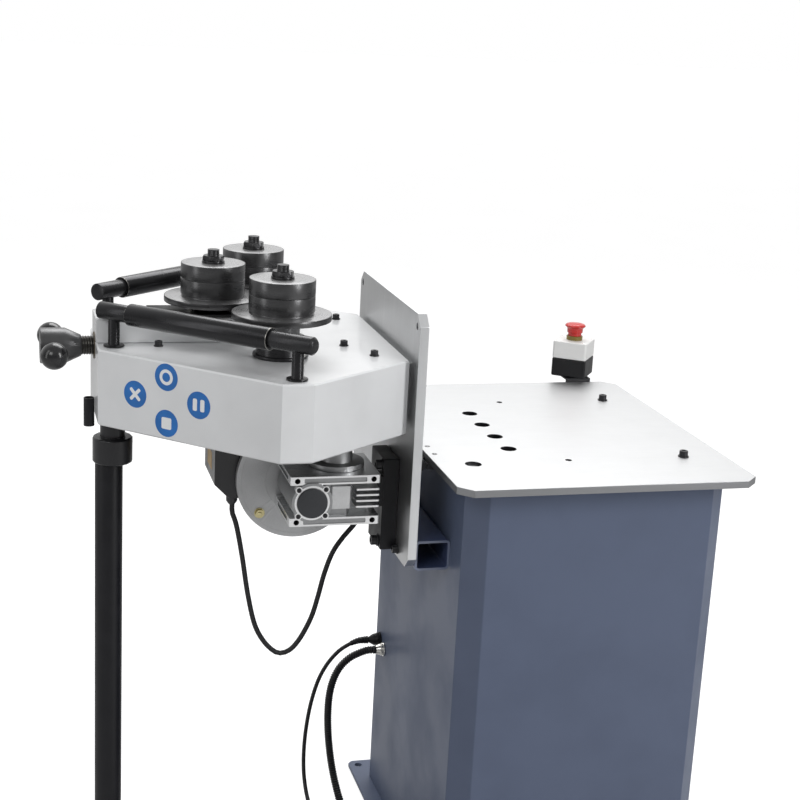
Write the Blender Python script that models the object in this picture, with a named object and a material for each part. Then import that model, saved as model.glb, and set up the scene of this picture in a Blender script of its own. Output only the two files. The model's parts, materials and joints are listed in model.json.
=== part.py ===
"""Ring roller with a power-driven roll head that tilts on its stand.

Metres, +Z up. The origin is the middle of the stand's base plate, on the floor.
+X points from the roll head to the table, and +Y points away from the operator.
"""

import math

import bmesh
import bpy
from mathutils import Matrix, Vector

# Clearances, and how finely round shapes are faceted
TOUCH_GAP = 0.0003
RUNNING_GAP = 0.0005
CUT_OVERRUN = 0.002
JOIN_OVERLAP = 0.001
WELD_DISTANCE = 0.000001
FINE_STEPS = 20
ROUND_STEPS = 16
SMALL_STEPS = 12
ROUTE_STEPS = 24
SHADE_ANGLE = math.radians(35)

# Stand: table, cabinet, base plate and rear panel
TABLE_HEIGHT = 0.780
TABLE_WIDTH = 0.500
TABLE_DEPTH = 0.628
TABLE_THICKNESS = 0.012
TABLE_CORNER = 0.022
TABLE_EDGE = 0.001
CABINET_SIDE_INSET = 0.030
CABINET_FRONT_INSET = 0.040
CABINET_CORNER = 0.032
CABINET_SHEET = 0.003
CABINET_RIM = 0.025
BASE_THICKNESS = 0.008
BASE_OVERHANG = 0.030
ANCHOR_HOLE_RADIUS = 0.007
ANCHOR_HOLE_INSET = 0.018
PANEL_SHEET = 0.0025
PANEL_MARGIN = 0.045
PANEL_LAP = 0.018
PANEL_CORNER = 0.006
PANEL_BOTTOM = 0.070
PANEL_TOP_MARGIN = 0.098

# Tilting plate, its hinges and its stop
HINGE_DROP = 0.014
HINGE_RADIUS = 0.010
HINGE_BORE_RADIUS = 0.0053
HINGE_PIN_HEAD_RADIUS = 0.0075
HINGE_PIN_HEAD = 0.003
HINGE_SPREAD = 0.1032
HINGE_WIDTH = 0.072
HINGE_KNUCKLE_WIDTH = 0.028
HINGE_NECK = 0.006
HINGE_LEAF_THICKNESS = 0.0035
HINGE_LEAF_RISE = 0.0095
HINGE_LEAF_DROP = 0.046
TABLE_LEAF_THICKNESS = 0.0095
PLATE_THICKNESS = 0.015
PLATE_WIDTH = 0.3894
PLATE_ABOVE_HINGE = 0.2576
PLATE_BELOW_HINGE = 0.1578
PLATE_CORNER = 0.018
PLATE_EDGE = 0.0012
LOCK_HOLE_UP = 0.2375
LOCK_HOLE_SPREAD = 0.178
LOCK_HOLE_RADIUS = 0.0055
HEAD_BOLTS = 4
HEAD_BOLT_UP = 0.1587
HEAD_BOLT_PITCH = 0.0717
LOWER_HOLE_UP = 0.074
LOWER_HOLE_SPREAD = 0.1834
LOWER_HOLE_RADIUS = 0.0075
BOLT_HEAD_CLEARANCE = 0.0135
COUNTERBORE_DEPTH = 0.007
STOP_TUBE_HEIGHT = 0.050
STOP_TUBE_WALL = 0.004
STOP_TUBE_BELOW_HINGE = 0.113
STOP_TUBE_LENGTH = 0.368

# Roll head housing: its reach from the tilting plate and its half widths
HEAD_ABOVE_TABLE = 0.0477
HEAD_HEIGHT = 0.1203
HEAD_WALL = 0.010
HEAD_TOP_WALL = 0.012
HEAD_EDGE = 0.0025
HEAD_NOSE_REACH = 0.4767
HEAD_NOSE_HALF_WIDTH = 0.0775
HEAD_SHOULDER_REACH = 0.2331
HEAD_WAIST_REACH = 0.1853
HEAD_HALF_WIDTH = 0.307
HEAD_TAIL_HALF_WIDTH = 0.172
HEAD_TAIL_GAP = 0.0077
TAIL_PAD_HALF_WIDTH = 0.140
TAIL_PAD_MARGIN = 0.012
FLOOR_THICKNESS = 0.008

# Slide guide, slide and pressing screw
GUIDE_HALF_WIDTH = 0.0375
GUIDE_HEIGHT = 0.0397
GUIDE_LENGTH = 0.255
GUIDE_EDGE = 0.0015
SLIDE_HALF_WIDTH = 0.0245
SLIDE_HALF_LENGTH = 0.045
SLIDE_DEPTH = 0.032
SLIDE_COVER_THICKNESS = 0.0047
SLIDE_COVER_BACK = 0.101
SLIDE_COVER_FRONT = 0.054
SLIDE_TRAVEL = 0.078
SLIDE_END_GAP = 0.003
SCREW_BELOW_TOP = 0.011
SCREW_RADIUS = 0.015
SCREW_TIP_RADIUS = 0.010
SCREW_TIP_DEPTH = 0.012
SCREW_NECK_RADIUS = 0.009
SCREW_NECK_LENGTH = 0.034
NUT_RADIUS = 0.0215
NUT_LENGTH = 0.036
NUT_PROUD = 0.0015
HUB_FROM_NOSE = 0.020
HUB_RADIUS = 0.028
HUB_LENGTH = 0.0384
HUB_CONE_LENGTH = 0.0252
HUB_CONE_RADIUS = 0.0165
HUB_EDGE = 0.002
HANDLE_BAR_RADIUS = 0.006
HANDLE_HALF_LENGTH = 0.060
HANDLE_KNOB_RADIUS = 0.0215
HANDLE_TILT = math.radians(2.7)

# Rolls and their shafts
DRIVE_ROLL_REACH = 0.2037
PRESS_FROM_DRIVE = 0.087
ROLL_RADIUS = 0.051
ROLL_HEIGHT = 0.053
ROLL_EDGE = 0.0012
ROLL_GROOVE_DEPTH = 0.0015
ROLL_GROOVE_WIDTH = 0.002
ROLL_GROOVE_UP = 0.029
ROLL_SEAT_HEIGHT = 0.0035
ROLL_SEAT_DEPTH = 0.002
ROLL_FLANGE_RADIUS = 0.077
ROLL_FLANGE_THICKNESS = 0.0095
ROLL_FLANGE_UP = 0.0595
PRESS_HUB_TOP_RADIUS = 0.045
PRESS_HUB_RADIUS = 0.027
DRIVE_HUB_RADIUS = 0.029
SHAFT_RADIUS = 0.015
SHAFT_EDGE = 0.001
STUD_RADIUS = 0.0095
STUD_HEIGHT = 0.021
WASHER_RADIUS = 0.018
WASHER_THICKNESS = 0.003
ROLL_NUT_RADIUS = 0.0173
ROLL_NUT_HEIGHT = 0.011
BOSS_RADIUS = 0.038
BOSS_HEIGHT = 0.032
BOSS_FLANGE_RADIUS = 0.043
BOSS_FLANGE_HEIGHT = 0.005
BOSS_EDGE = 0.002

# Gear train inside the head
GEAR_MODULE = 0.004
DRIVE_TEETH = 36
IDLER_TEETH = 30
PINION_TEETH = 16
DEDENDUM_SHARE = 1.25
GEAR_THICKNESS = 0.020
GEAR_ABOVE_FLOOR = 0.0143
GEAR_BACKLASH = 0.0005
GEAR_HUB_RADIUS = 0.024
GEAR_HUB_HEIGHT = 0.010
PRESSURE_ANGLE = math.radians(20)
PINION_BEARING = math.radians(14)
FRONT_TOOTH_ANGLE = math.radians(90)
IDLER_PIN_RADIUS = 0.012
IDLER_PIN_COLLAR_RADIUS = 0.018
PINION_SHAFT_RADIUS = 0.0125
PINION_SHAFT_LENGTH = 0.150

# Support rails beside the rolls, each with a sleeve that turns freely
RAIL_BACK_REACH = 0.4507
RAIL_BACK_HALF_WIDTH = 0.0561
RAIL_FRONT_REACH = 0.2067
RAIL_FRONT_HALF_WIDTH = 0.2803
RAIL_UP = 0.054
REAR_RAIL_RAISE = 0.012
POST_RADIUS = 0.009
POST_FOOT_RADIUS = 0.016
POST_FOOT_HEIGHT = 0.0025
RAIL_RADIUS = 0.0135
RAIL_EDGE = 0.002
RAIL_BACK_OVERHANG = 0.025
RAIL_FRONT_OVERHANG = 0.029
SPINDLE_RADIUS = 0.010
SLEEVE_RADIUS = 0.017
SLEEVE_START = 0.031
SLEEVE_LENGTH = 0.254

# Support leg under the nose, and the key tube on the nose
COLLAR_FROM_NOSE = 0.0294
COLLAR_RADIUS = 0.032
COLLAR_HEIGHT = 0.0424
COLLAR_BELOW_HEAD = 0.0407
COLLAR_SLIT = 0.0025
COLLAR_EDGE = 0.002
NECK_RADIUS = 0.020
LEG_FROM_COLLAR = 0.0059
LEG_RADIUS = 0.0222
LEG_GRIP = 0.030
FOOT_RADIUS = 0.045
FOOT_THICKNESS = 0.010
KEY_TUBE_RADIUS = 0.0085
KEY_TUBE_WALL = 0.0015
KEY_TUBE_LENGTH = 0.046
KEY_TUBE_BELOW_HEAD = 0.0187
KEY_TUBE_FORWARD = 0.012

# Worm gearbox and the bracket that holds it to the plate
WORM_FROM_PLATE = 0.1527
WORM_BELOW_HEAD = 0.1087
GEAR_CENTRES = 0.050
GEARBOX_LEFT_OF_WORM = 0.035
GEARBOX_RIGHT_OF_WORM = 0.1096
GEARBOX_WIDTH = 0.120
GEARBOX_BELOW_WORM = 0.039
GEARBOX_ABOVE_WORM = 0.0425
SLAB_HEIGHT = 0.0135
CORE_INSET = 0.011
CORE_EDGE = 0.003
WORM_TUBE_RADIUS = 0.033
WORM_TUBE_PROUD = 0.002
CAP_RADIUS = 0.0243
CAP_THICKNESS = 0.003
LUG_HOLE_RADIUS = 0.0045
LUG_HOLE_INSET = 0.011
FINS = 4
FIN_PITCH = 0.008
FIN_THICKNESS = 0.003
FIN_FROM_END = 0.010
OUTLET_RADIUS = 0.026
OUTLET_FLANGE_RADIUS = 0.045
OUTLET_FLANGE_HEIGHT = 0.009
OUTLET_CAP_RADIUS = 0.034
OUTLET_CAP_HEIGHT = 0.006
BRACKET_THICKNESS = 0.0262
BRACKET_HEIGHT = 0.155
BRACKET_BELOW_TABLE = 0.008
BRACKET_FRONT_REACH = 0.120
BRACKET_WIDTH = 0.080
BRACKET_EDGE = 0.0015
TONGUE_WIDTH = 0.034
TONGUE_HEIGHT = 0.050

# Motor with its fan cover and terminal box
FLANGE_RADIUS = 0.100
FLANGE_THICKNESS = 0.0117
FLANGE_BOLT_CIRCLE_RADIUS = 0.0825
FLANGE_HOLE_RADIUS = 0.0055
FLANGE_EDGE = 0.0015
MOTOR_CORE_RADIUS = 0.0635
MOTOR_FIN_HEIGHT = 0.0055
MOTOR_FINS = 20
MOTOR_FIN_SHARE = 0.4
MOTOR_BODY_LENGTH = 0.200
FAN_COVER_RADIUS = 0.072
FAN_COVER_LENGTH = 0.050
FAN_COVER_ROUND = 0.012
FAN_SLOTS = 8
FAN_SLOT_WIDTH = 0.004
FAN_SLOT_DEPTH = 0.003
FAN_SLOT_INNER = 0.016
FAN_SLOT_OUTER = 0.052
TERMINAL_WIDTH = 0.0645
TERMINAL_LENGTH = 0.114
TERMINAL_FROM_FLANGE = 0.001
TERMINAL_ABOVE_WORM = 0.071
TERMINAL_BELOW_WORM = 0.034
TERMINAL_CHAMFER = 0.024
TERMINAL_EDGE = 0.003
SADDLE_REACH = 0.035
SADDLE_HALF_HEIGHT = 0.028
SADDLE_MARGIN = 0.008
TERMINAL_GLAND_IN = 0.0305
TERMINAL_GLAND_BACK = 0.0105
TERMINAL_GLAND_LENGTH = 0.0125
GLAND_NUT_RADIUS = 0.0095

# Emergency stop station behind the table
STATION_SIDE = 0.068
STATION_BASE_HEIGHT = 0.035
STATION_COVER_HEIGHT = 0.034
STATION_EDGE = 0.004
STATION_TURN = math.radians(-36)
STATION_X = 0.180
STATION_BEHIND_TABLE = 0.037
STATION_ABOVE_TABLE = 0.007
BEZEL_RADIUS = 0.0175
BEZEL_HEIGHT = 0.008
BUTTON_NECK_RADIUS = 0.013
BUTTON_NECK_SUNK = 0.006
BUTTON_BORE_DEPTH = 0.012
BUTTON_RADIUS = 0.020
BUTTON_NECK_UP = 0.016
BUTTON_HEAD_HEIGHT = 0.009
STATION_PLATE = 0.003
STATION_PLATE_WIDTH = 0.050
STATION_PLATE_REACH = 0.068
STATION_PLATE_DROP = 0.042
GUSSET_REACH = 0.030

# Glands on the cabinet's left wall, and the leads that leave them
GLAND_FLANGE_RADIUS = 0.0135
GLAND_FLANGE_THICKNESS = 0.004
GLAND_BODY_RADIUS = 0.0110
GLAND_TAPER_SHARE = 0.45
MAINS_DIAMETER = 0.0075
MAINS_GLAND_Y = 0.2125
MAINS_GLAND_HEIGHT = 0.309
MAINS_GLAND_LENGTH = 0.024
CONDUIT_DIAMETER = 0.015
CONDUIT_GLAND_Y = 0.1815
CONDUIT_GLAND_HEIGHT = 0.302
CONDUIT_GLAND_LENGTH = 0.016
CONDUIT_GROOVE = 0.0012
MOTOR_CABLE_DIAMETER = 0.0085
MOTOR_CABLE_Y = -0.010
MOTOR_CABLE_BELOW_TABLE = 0.045
MOTOR_GLAND_LENGTH = 0.014
CABLE_HOLE_RADIUS = 0.0085

# Coils of the lengths that lie on the floor under the head
COIL_GAP = 0.0008
COIL_STEPS = 24
COIL_LAYERS = 2
COIL_EXIT_TURN_SHARE = 0.25
FLOOR_GAP = 0.0003
MAINS_COIL_X = -0.420
MAINS_COIL_Y = 0.045
MAINS_COIL_RADIUS = 0.0605
MAINS_COIL_TURNS = 4
MAINS_TAIL = 0.080
CONDUIT_COIL_X = -0.3905
CONDUIT_COIL_Y = -0.130
CONDUIT_COIL_RADIUS = 0.0905
CONDUIT_COIL_TURNS = 1
CONDUIT_TAIL = 0.095
CONDUIT_RIBS = 42

# Mains plug
PLUG_GRIP_RADIUS = 0.0105
PLUG_GRIP_LENGTH = 0.028
PLUG_RADIUS = 0.019
PLUG_LENGTH = 0.038
PLUG_EDGE = 0.003
PLUG_PIN_RADIUS = 0.0024
PLUG_PIN_LENGTH = 0.019
PLUG_PIN_SPREAD = 0.0095

# Foot pedal
PEDAL_LENGTH = 0.150
PEDAL_WIDTH = 0.098
PEDAL_HEIGHT = 0.028
PEDAL_EDGE = 0.004
PEDAL_CORNER = 0.010
PEDAL_INLET_HEIGHT = 0.015
PIVOT_FROM_END = 0.018
PIVOT_UP = 0.010
CHEEK_THICKNESS = 0.008
CHEEK_RADIUS = 0.009
PIVOT_PIN_RADIUS = 0.004
PIVOT_BORE_RADIUS = 0.0043
TREAD_WIDTH = 0.078
TREAD_THICKNESS = 0.006
TREAD_BARREL_RADIUS = 0.007
TREAD_OVERLAP = 0.004
TREAD_LIFT = math.radians(7)
TREAD_RIBS = 9
TREAD_RIB_HEIGHT = 0.0012
TREAD_RIB_WIDTH = 0.004

# Routes of the cords, as points chosen by hand
MAINS_ROUTE = [
    (-0.2643, 0.2125, 0.3080),
    (-0.2820, 0.2125, 0.3010),
    (-0.3010, 0.2128, 0.2880),
    (-0.3210, 0.2130, 0.2640),
    (-0.3370, 0.2130, 0.2320),
    (-0.3490, 0.2120, 0.1900),
    (-0.3570, 0.2090, 0.1450),
    (-0.3620, 0.2020, 0.1000),
    (-0.3640, 0.1890, 0.0600),
    (-0.3630, 0.1680, 0.0290),
    (-0.3610, 0.1380, 0.0110),
    (-0.3597, 0.1050, 0.0050),
]
CONDUIT_ROUTE = [
    (-0.2640, 0.1815, 0.2985),
    (-0.2850, 0.1815, 0.2890),
    (-0.3020, 0.1815, 0.2730),
    (-0.3140, 0.1810, 0.2510),
    (-0.3220, 0.1790, 0.2200),
    (-0.3250, 0.1740, 0.1800),
    (-0.3240, 0.1650, 0.1350),
    (-0.3200, 0.1500, 0.0900),
    (-0.3140, 0.1260, 0.0510),
    (-0.3080, 0.0940, 0.0240),
    (-0.3030, 0.0520, 0.0110),
    (-0.3005, 0.0050, 0.0081),
    (-0.3000, -0.0500, 0.0078),
]
MOTOR_CABLE_ROUTE = [
    (-0.5487, -0.0240, 0.6590),
    (-0.5400, -0.0230, 0.6330),
    (-0.5290, -0.0220, 0.5770),
    (-0.5180, -0.0210, 0.5110),
    (-0.5050, -0.0200, 0.4560),
    (-0.4890, -0.0190, 0.4240),
    (-0.4710, -0.0180, 0.4040),
    (-0.4570, -0.0170, 0.3980),
    (-0.4400, -0.0160, 0.4040),
    (-0.4230, -0.0150, 0.4250),
    (-0.4060, -0.0140, 0.4600),
    (-0.3960, -0.0130, 0.4950),
    (-0.3860, -0.0120, 0.5370),
    (-0.3730, -0.0110, 0.5740),
    (-0.3560, -0.0100, 0.6000),
    (-0.3380, -0.0100, 0.6220),
    (-0.3240, -0.0100, 0.6450),
    (-0.3165, -0.0100, 0.6700),
    (-0.3140, -0.0100, 0.6950),
    (-0.3115, -0.0100, 0.7150),
    (-0.3055, -0.0100, 0.7290),
]
SPACING_DIAMETERS_SHARE = 2.2

# Places that follow from the sizes above
TABLE_UNDERSIDE = TABLE_HEIGHT - TABLE_THICKNESS
PANEL_HEIGHT = TABLE_UNDERSIDE - PANEL_BOTTOM - PANEL_TOP_MARGIN
MOTOR_CABLE_HEIGHT = TABLE_HEIGHT - MOTOR_CABLE_BELOW_TABLE
CABINET_HALF_WIDTH = TABLE_WIDTH / 2 - CABINET_SIDE_INSET
CABINET_HALF_DEPTH = TABLE_DEPTH / 2 - CABINET_FRONT_INSET
CABINET_LEFT = -CABINET_HALF_WIDTH
HINGE_X = -TABLE_WIDTH / 2 - HINGE_DROP
HINGE_Z = TABLE_HEIGHT - HINGE_DROP
PLATE_RIGHT = HINGE_X - HINGE_DROP - TOUCH_GAP
PLATE_LEFT = PLATE_RIGHT - PLATE_THICKNESS
HEAD_BOTTOM = TABLE_HEIGHT + HEAD_ABOVE_TABLE
HEAD_TOP = HEAD_BOTTOM + HEAD_HEIGHT
FLOOR_TOP = HEAD_BOTTOM + FLOOR_THICKNESS
NOSE_X = PLATE_LEFT - HEAD_NOSE_REACH
TAIL_X = PLATE_LEFT - HEAD_TAIL_GAP
GUIDE_TOP = HEAD_TOP + TOUCH_GAP + GUIDE_HEIGHT
COVER_TOP = GUIDE_TOP + TOUCH_GAP + SLIDE_COVER_THICKNESS
FLANGE_BOTTOM = HEAD_TOP + ROLL_FLANGE_UP
FLANGE_TOP = FLANGE_BOTTOM + ROLL_FLANGE_THICKNESS
ROLL_TOP = FLANGE_TOP + ROLL_HEIGHT
DRIVE_PITCH_RADIUS = DRIVE_TEETH * GEAR_MODULE / 2
IDLER_PITCH_RADIUS = IDLER_TEETH * GEAR_MODULE / 2
PINION_PITCH_RADIUS = PINION_TEETH * GEAR_MODULE / 2
DRIVE_X = PLATE_LEFT - DRIVE_ROLL_REACH
DRIVE_Y = DRIVE_PITCH_RADIUS + IDLER_PITCH_RADIUS
PRESS_X = DRIVE_X - PRESS_FROM_DRIVE
PINION_X = DRIVE_X + (DRIVE_PITCH_RADIUS + PINION_PITCH_RADIUS) * math.cos(PINION_BEARING)
PINION_Y = -DRIVE_Y + (DRIVE_PITCH_RADIUS + PINION_PITCH_RADIUS) * math.sin(PINION_BEARING)
GEAR_BOTTOM = FLOOR_TOP + GEAR_ABOVE_FLOOR
GEAR_TOP = GEAR_BOTTOM + GEAR_THICKNESS
SCREW_Z = HEAD_TOP - SCREW_BELOW_TOP
SLIDE_LEFT = PRESS_X - SLIDE_HALF_LENGTH
HUB_RIGHT = NOSE_X - HUB_FROM_NOSE
WORM_X = PLATE_LEFT - WORM_FROM_PLATE
WORM_Z = HEAD_BOTTOM - WORM_BELOW_HEAD
OUTPUT_X = WORM_X + GEAR_CENTRES
GEARBOX_TOP = WORM_Z + GEARBOX_ABOVE_WORM
GEARBOX_BOTTOM = WORM_Z - GEARBOX_BELOW_WORM
GEARBOX_FRONT = PINION_Y - GEARBOX_WIDTH / 2
GEARBOX_BACK = PINION_Y + GEARBOX_WIDTH / 2
FLANGE_BACK = GEARBOX_BACK + TOUCH_GAP + FLANGE_THICKNESS
STATION_Y = TABLE_DEPTH / 2 + STATION_BEHIND_TABLE
STATION_BOTTOM = TABLE_HEIGHT + STATION_ABOVE_TABLE
STATION_TOP = STATION_BOTTOM + STATION_BASE_HEIGHT + TOUCH_GAP + STATION_COVER_HEIGHT
UP = Vector((0, 0, 1))
RIGHT = Vector((1, 0, 0))
LEFT = Vector((-1, 0, 0))
BACK = Vector((0, 1, 0))
FRONT = Vector((0, -1, 0))

# Colour, roughness and metallic value of each finish
FINISHES = {
    "head_paint": ((0.72, 0.73, 0.74), 0.35, 0.0),
    "cabinet_paint": ((0.13, 0.16, 0.22), 0.30, 0.0),
    "tube_paint": ((0.05, 0.09, 0.20), 0.35, 0.0),
    "white_steel": ((0.78, 0.79, 0.80), 0.40, 0.0),
    "black_paint": ((0.02, 0.02, 0.022), 0.45, 0.0),
    "ground_steel": ((0.55, 0.56, 0.57), 0.30, 1.0),
    "black_oxide": ((0.05, 0.05, 0.055), 0.35, 0.8),
    "cast_aluminium": ((0.60, 0.61, 0.62), 0.50, 1.0),
    "bronze": ((0.58, 0.40, 0.20), 0.35, 1.0),
    "motor_paint": ((0.55, 0.56, 0.57), 0.45, 0.2),
    "black_plastic": ((0.02, 0.02, 0.02), 0.50, 0.0),
    "white_plastic": ((0.80, 0.80, 0.78), 0.40, 0.0),
    "red_plastic": ((0.60, 0.02, 0.02), 0.35, 0.0),
    "rubber": ((0.025, 0.025, 0.027), 0.70, 0.0),
    "nickel": ((0.70, 0.69, 0.66), 0.25, 1.0),
}


# Shapes


def new_object(name, bm, at=(0, 0, 0)):
    """An object holding this shape, at this place."""
    bmesh.ops.recalc_face_normals(bm, faces=bm.faces)
    mesh = bpy.data.meshes.new(name)
    bm.to_mesh(mesh)
    bm.free()
    obj = bpy.data.objects.new(name, mesh)
    obj.location = at
    bpy.context.scene.collection.objects.link(obj)
    return obj


def skin(name, rings):
    """A solid through rings of as many points each, with a flat cap at each end."""
    bm = bmesh.new()
    loops = [[bm.verts.new(point) for point in ring] for ring in rings]
    count = len(loops[0])
    for lower, upper in zip(loops, loops[1:]):
        for i in range(count):
            j = (i + 1) % count
            bm.faces.new((lower[i], lower[j], upper[j], upper[i]))
    bm.faces.new(loops[0])
    bm.faces.new(loops[-1])
    return new_object(name, bm)


def inset_outline(outline, distance):
    """A counter-clockwise outline, moved in by this distance."""
    moved = []
    befores = outline[-1:] + outline[:-1]
    afters = outline[1:] + outline[:1]
    for before, corner, after in zip(befores, outline, afters):
        entering = (Vector(corner) - Vector(before)).normalized()
        leaving = (Vector(after) - Vector(corner)).normalized()
        inward = Vector((-entering.y - leaving.y, entering.x + leaving.x))
        step = inward * (distance / (1 + entering.dot(leaving)))
        moved.append(tuple(Vector(corner) + step))
    return moved


def extruded(name, outline, low, high, along="Z", edge=0):
    """An outline drawn across one axis and extruded along it, with its end edges chamfered.

    Across Z the outline is in X and Y, across Y in X and Z, and across X in Y and Z.
    """
    place = {
        "Z": lambda a, b, depth: (a, b, depth),
        "Y": lambda a, b, depth: (a, depth, b),
        "X": lambda a, b, depth: (depth, a, b),
    }[along]
    levels = [(0, low), (0, high)]
    if edge:
        levels = [(edge, low), (0, low + edge), (0, high - edge), (edge, high)]
    rings = []
    for inset, depth in levels:
        shape = inset_outline(outline, inset) if inset else outline
        rings.append([place(a, b, depth) for a, b in shape])
    return skin(name, rings)


def rectangle(low_a, high_a, low_b, high_b, corner=0):
    """A counter-clockwise rectangle, with its corners cut off at 45 degrees."""
    if not corner:
        return [(low_a, low_b), (high_a, low_b), (high_a, high_b), (low_a, high_b)]
    return [
        (low_a + corner, low_b),
        (high_a - corner, low_b),
        (high_a, low_b + corner),
        (high_a, high_b - corner),
        (high_a - corner, high_b),
        (low_a + corner, high_b),
        (low_a, high_b - corner),
        (low_a, low_b + corner),
    ]


def block(name, x, y, z, edge=0):
    """A box between two values on each axis, with the edges of its top and bottom chamfered."""
    return extruded(name, rectangle(*x, *y), *z, edge=edge)


def turned(name, profile, at, direction=UP, steps=ROUND_STEPS):
    """A profile of radii and heights, spun round a direction through a point.

    A profile that starts and ends off the axis closes on itself, as a ring does.
    """
    bm = bmesh.new()
    verts = [bm.verts.new((radius, 0, height)) for radius, height in profile]
    for first, second in zip(verts, verts[1:]):
        bm.edges.new((first, second))
    if profile[0][0] > 0:
        bm.edges.new((verts[-1], verts[0]))
    geometry = bm.verts[:] + bm.edges[:]
    bmesh.ops.spin(
        bm, geom=geometry, cent=(0, 0, 0), axis=UP, angle=math.tau, steps=steps, use_merge=True
    )
    bmesh.ops.remove_doubles(bm, verts=bm.verts, dist=WELD_DISTANCE)
    turn = UP.rotation_difference(direction).to_matrix().to_4x4()
    bmesh.ops.transform(bm, matrix=turn, verts=bm.verts)
    return new_object(name, bm, at)


def rod(name, radius, low, high, at, direction=UP, steps=ROUND_STEPS, edge=0):
    """A solid cylinder between two heights, with its end edges chamfered."""
    profile = [(0, low), (radius, low), (radius, high), (0, high)]
    if edge:
        inner = radius - edge
        profile = [(0, low), (inner, low), (radius, low + edge)]
        profile += [(radius, high - edge), (inner, high), (0, high)]
    return turned(name, profile, at, direction, steps)


def hexagon(name, radius, low, high, at):
    return turned(name, [(0, low), (radius, low), (radius, high), (0, high)], at, UP, 6)


def arc(radius, start, end, steps, centre=(0, 0)):
    """Points of an arc, from one angle to another."""
    points = []
    for i in range(steps + 1):
        angle = start + (end - start) * i / steps
        points.append((centre[0] + radius * math.cos(angle), centre[1] + radius * math.sin(angle)))
    return points


def combine(target, other, operation):
    """Join another shape to this one, or cut it away. The other shape is used up."""
    modifier = target.modifiers.new("shape", "BOOLEAN")
    modifier.operation = operation
    modifier.object = other
    graph = bpy.context.evaluated_depsgraph_get()
    mesh = bpy.data.meshes.new_from_object(target.evaluated_get(graph))
    target.modifiers.remove(modifier)
    target.data = mesh
    mesh.name = target.name
    bpy.data.objects.remove(other, do_unlink=True)
    return target


def join(target, *others):
    for other in others:
        combine(target, other, "UNION")
    return target


def cut(target, *cutters):
    for cutter in cutters:
        combine(target, cutter, "DIFFERENCE")
    return target


def bore(target, radius, low, high, at, direction=UP, steps=ROUND_STEPS):
    """A round hole between two heights."""
    return cut(target, rod("bore", radius, low, high, at, direction, steps))


# Bodies and finishes


def joint_empty(name, at, parent=None, direction=UP):
    """An empty on a joint's axis, which carries the pieces that move with it."""
    empty = bpy.data.objects.new(name, None)
    empty.rotation_euler = UP.rotation_difference(direction).to_euler()
    empty.location = at
    bpy.context.scene.collection.objects.link(empty)
    hang(empty, parent)
    return empty


def hang(obj, parent):
    """Parent an object where it is."""
    if parent is None:
        return
    bpy.context.view_layer.update()
    obj.parent = parent
    obj.matrix_parent_inverse = parent.matrix_world.inverted()


def finished(obj, finish, parent=None):
    """Give a piece its material and shading, and hang it on the empty that it moves with."""
    colour, roughness, metallic = FINISHES[finish]
    material = bpy.data.materials.new(obj.name + "_" + finish)
    material.use_nodes = True
    shader = material.node_tree.nodes["Principled BSDF"]
    shader.inputs["Base Color"].default_value = (*colour, 1)
    shader.inputs["Roughness"].default_value = roughness
    shader.inputs["Metallic"].default_value = metallic
    obj.data.materials.clear()
    obj.data.materials.append(material)
    if obj.type == "MESH":
        obj.data.shade_smooth()
        obj.data.set_sharp_from_angle(angle=SHADE_ANGLE)
    hang(obj, parent)
    return obj


# Cords


def smooth_route(points, spacing):
    """Even points along a smooth curve through the route's own points."""
    route = [Vector(point) for point in points]
    route = [2 * route[0] - route[1]] + route + [2 * route[-1] - route[-2]]
    dense = []
    for before, start, end, after in zip(route, route[1:], route[2:], route[3:]):
        for i in range(ROUTE_STEPS):
            t = i / ROUTE_STEPS
            bend = (end - before) * t + (2 * before - 5 * start + 4 * end - after) * t**2
            bend += (3 * start - before - 3 * end + after) * t**3
            dense.append(start + bend / 2)
    dense.append(route[-2])
    lengths = [0]
    for first, second in zip(dense, dense[1:]):
        lengths.append(lengths[-1] + (second - first).length)
    count = max(2, round(lengths[-1] / spacing))
    even = []
    at = 0
    for i in range(count + 1):
        wanted = lengths[-1] * i / count
        while at < len(dense) - 2 and lengths[at + 1] < wanted:
            at += 1
        share = (wanted - lengths[at]) / (lengths[at + 1] - lengths[at])
        even.append(dense[at].lerp(dense[at + 1], share))
    return even


def tube(name, points, diameter, sides=2, radii=None):
    """A round tube along points, closed by flat ends."""
    curve = bpy.data.curves.new(name, "CURVE")
    curve.dimensions = "3D"
    curve.bevel_depth = diameter / 2
    curve.bevel_resolution = sides
    curve.use_fill_caps = True
    spline = curve.splines.new("POLY")
    spline.points.add(len(points) - 1)
    for i, (knot, point) in enumerate(zip(spline.points, points)):
        knot.co = (*point, 1)
        knot.radius = radii[i] if radii else 1
    obj = bpy.data.objects.new(name, curve)
    bpy.context.scene.collection.objects.link(obj)
    return obj


def route_length(points):
    return sum((second - first).length for first, second in zip(points, points[1:]))


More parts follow.
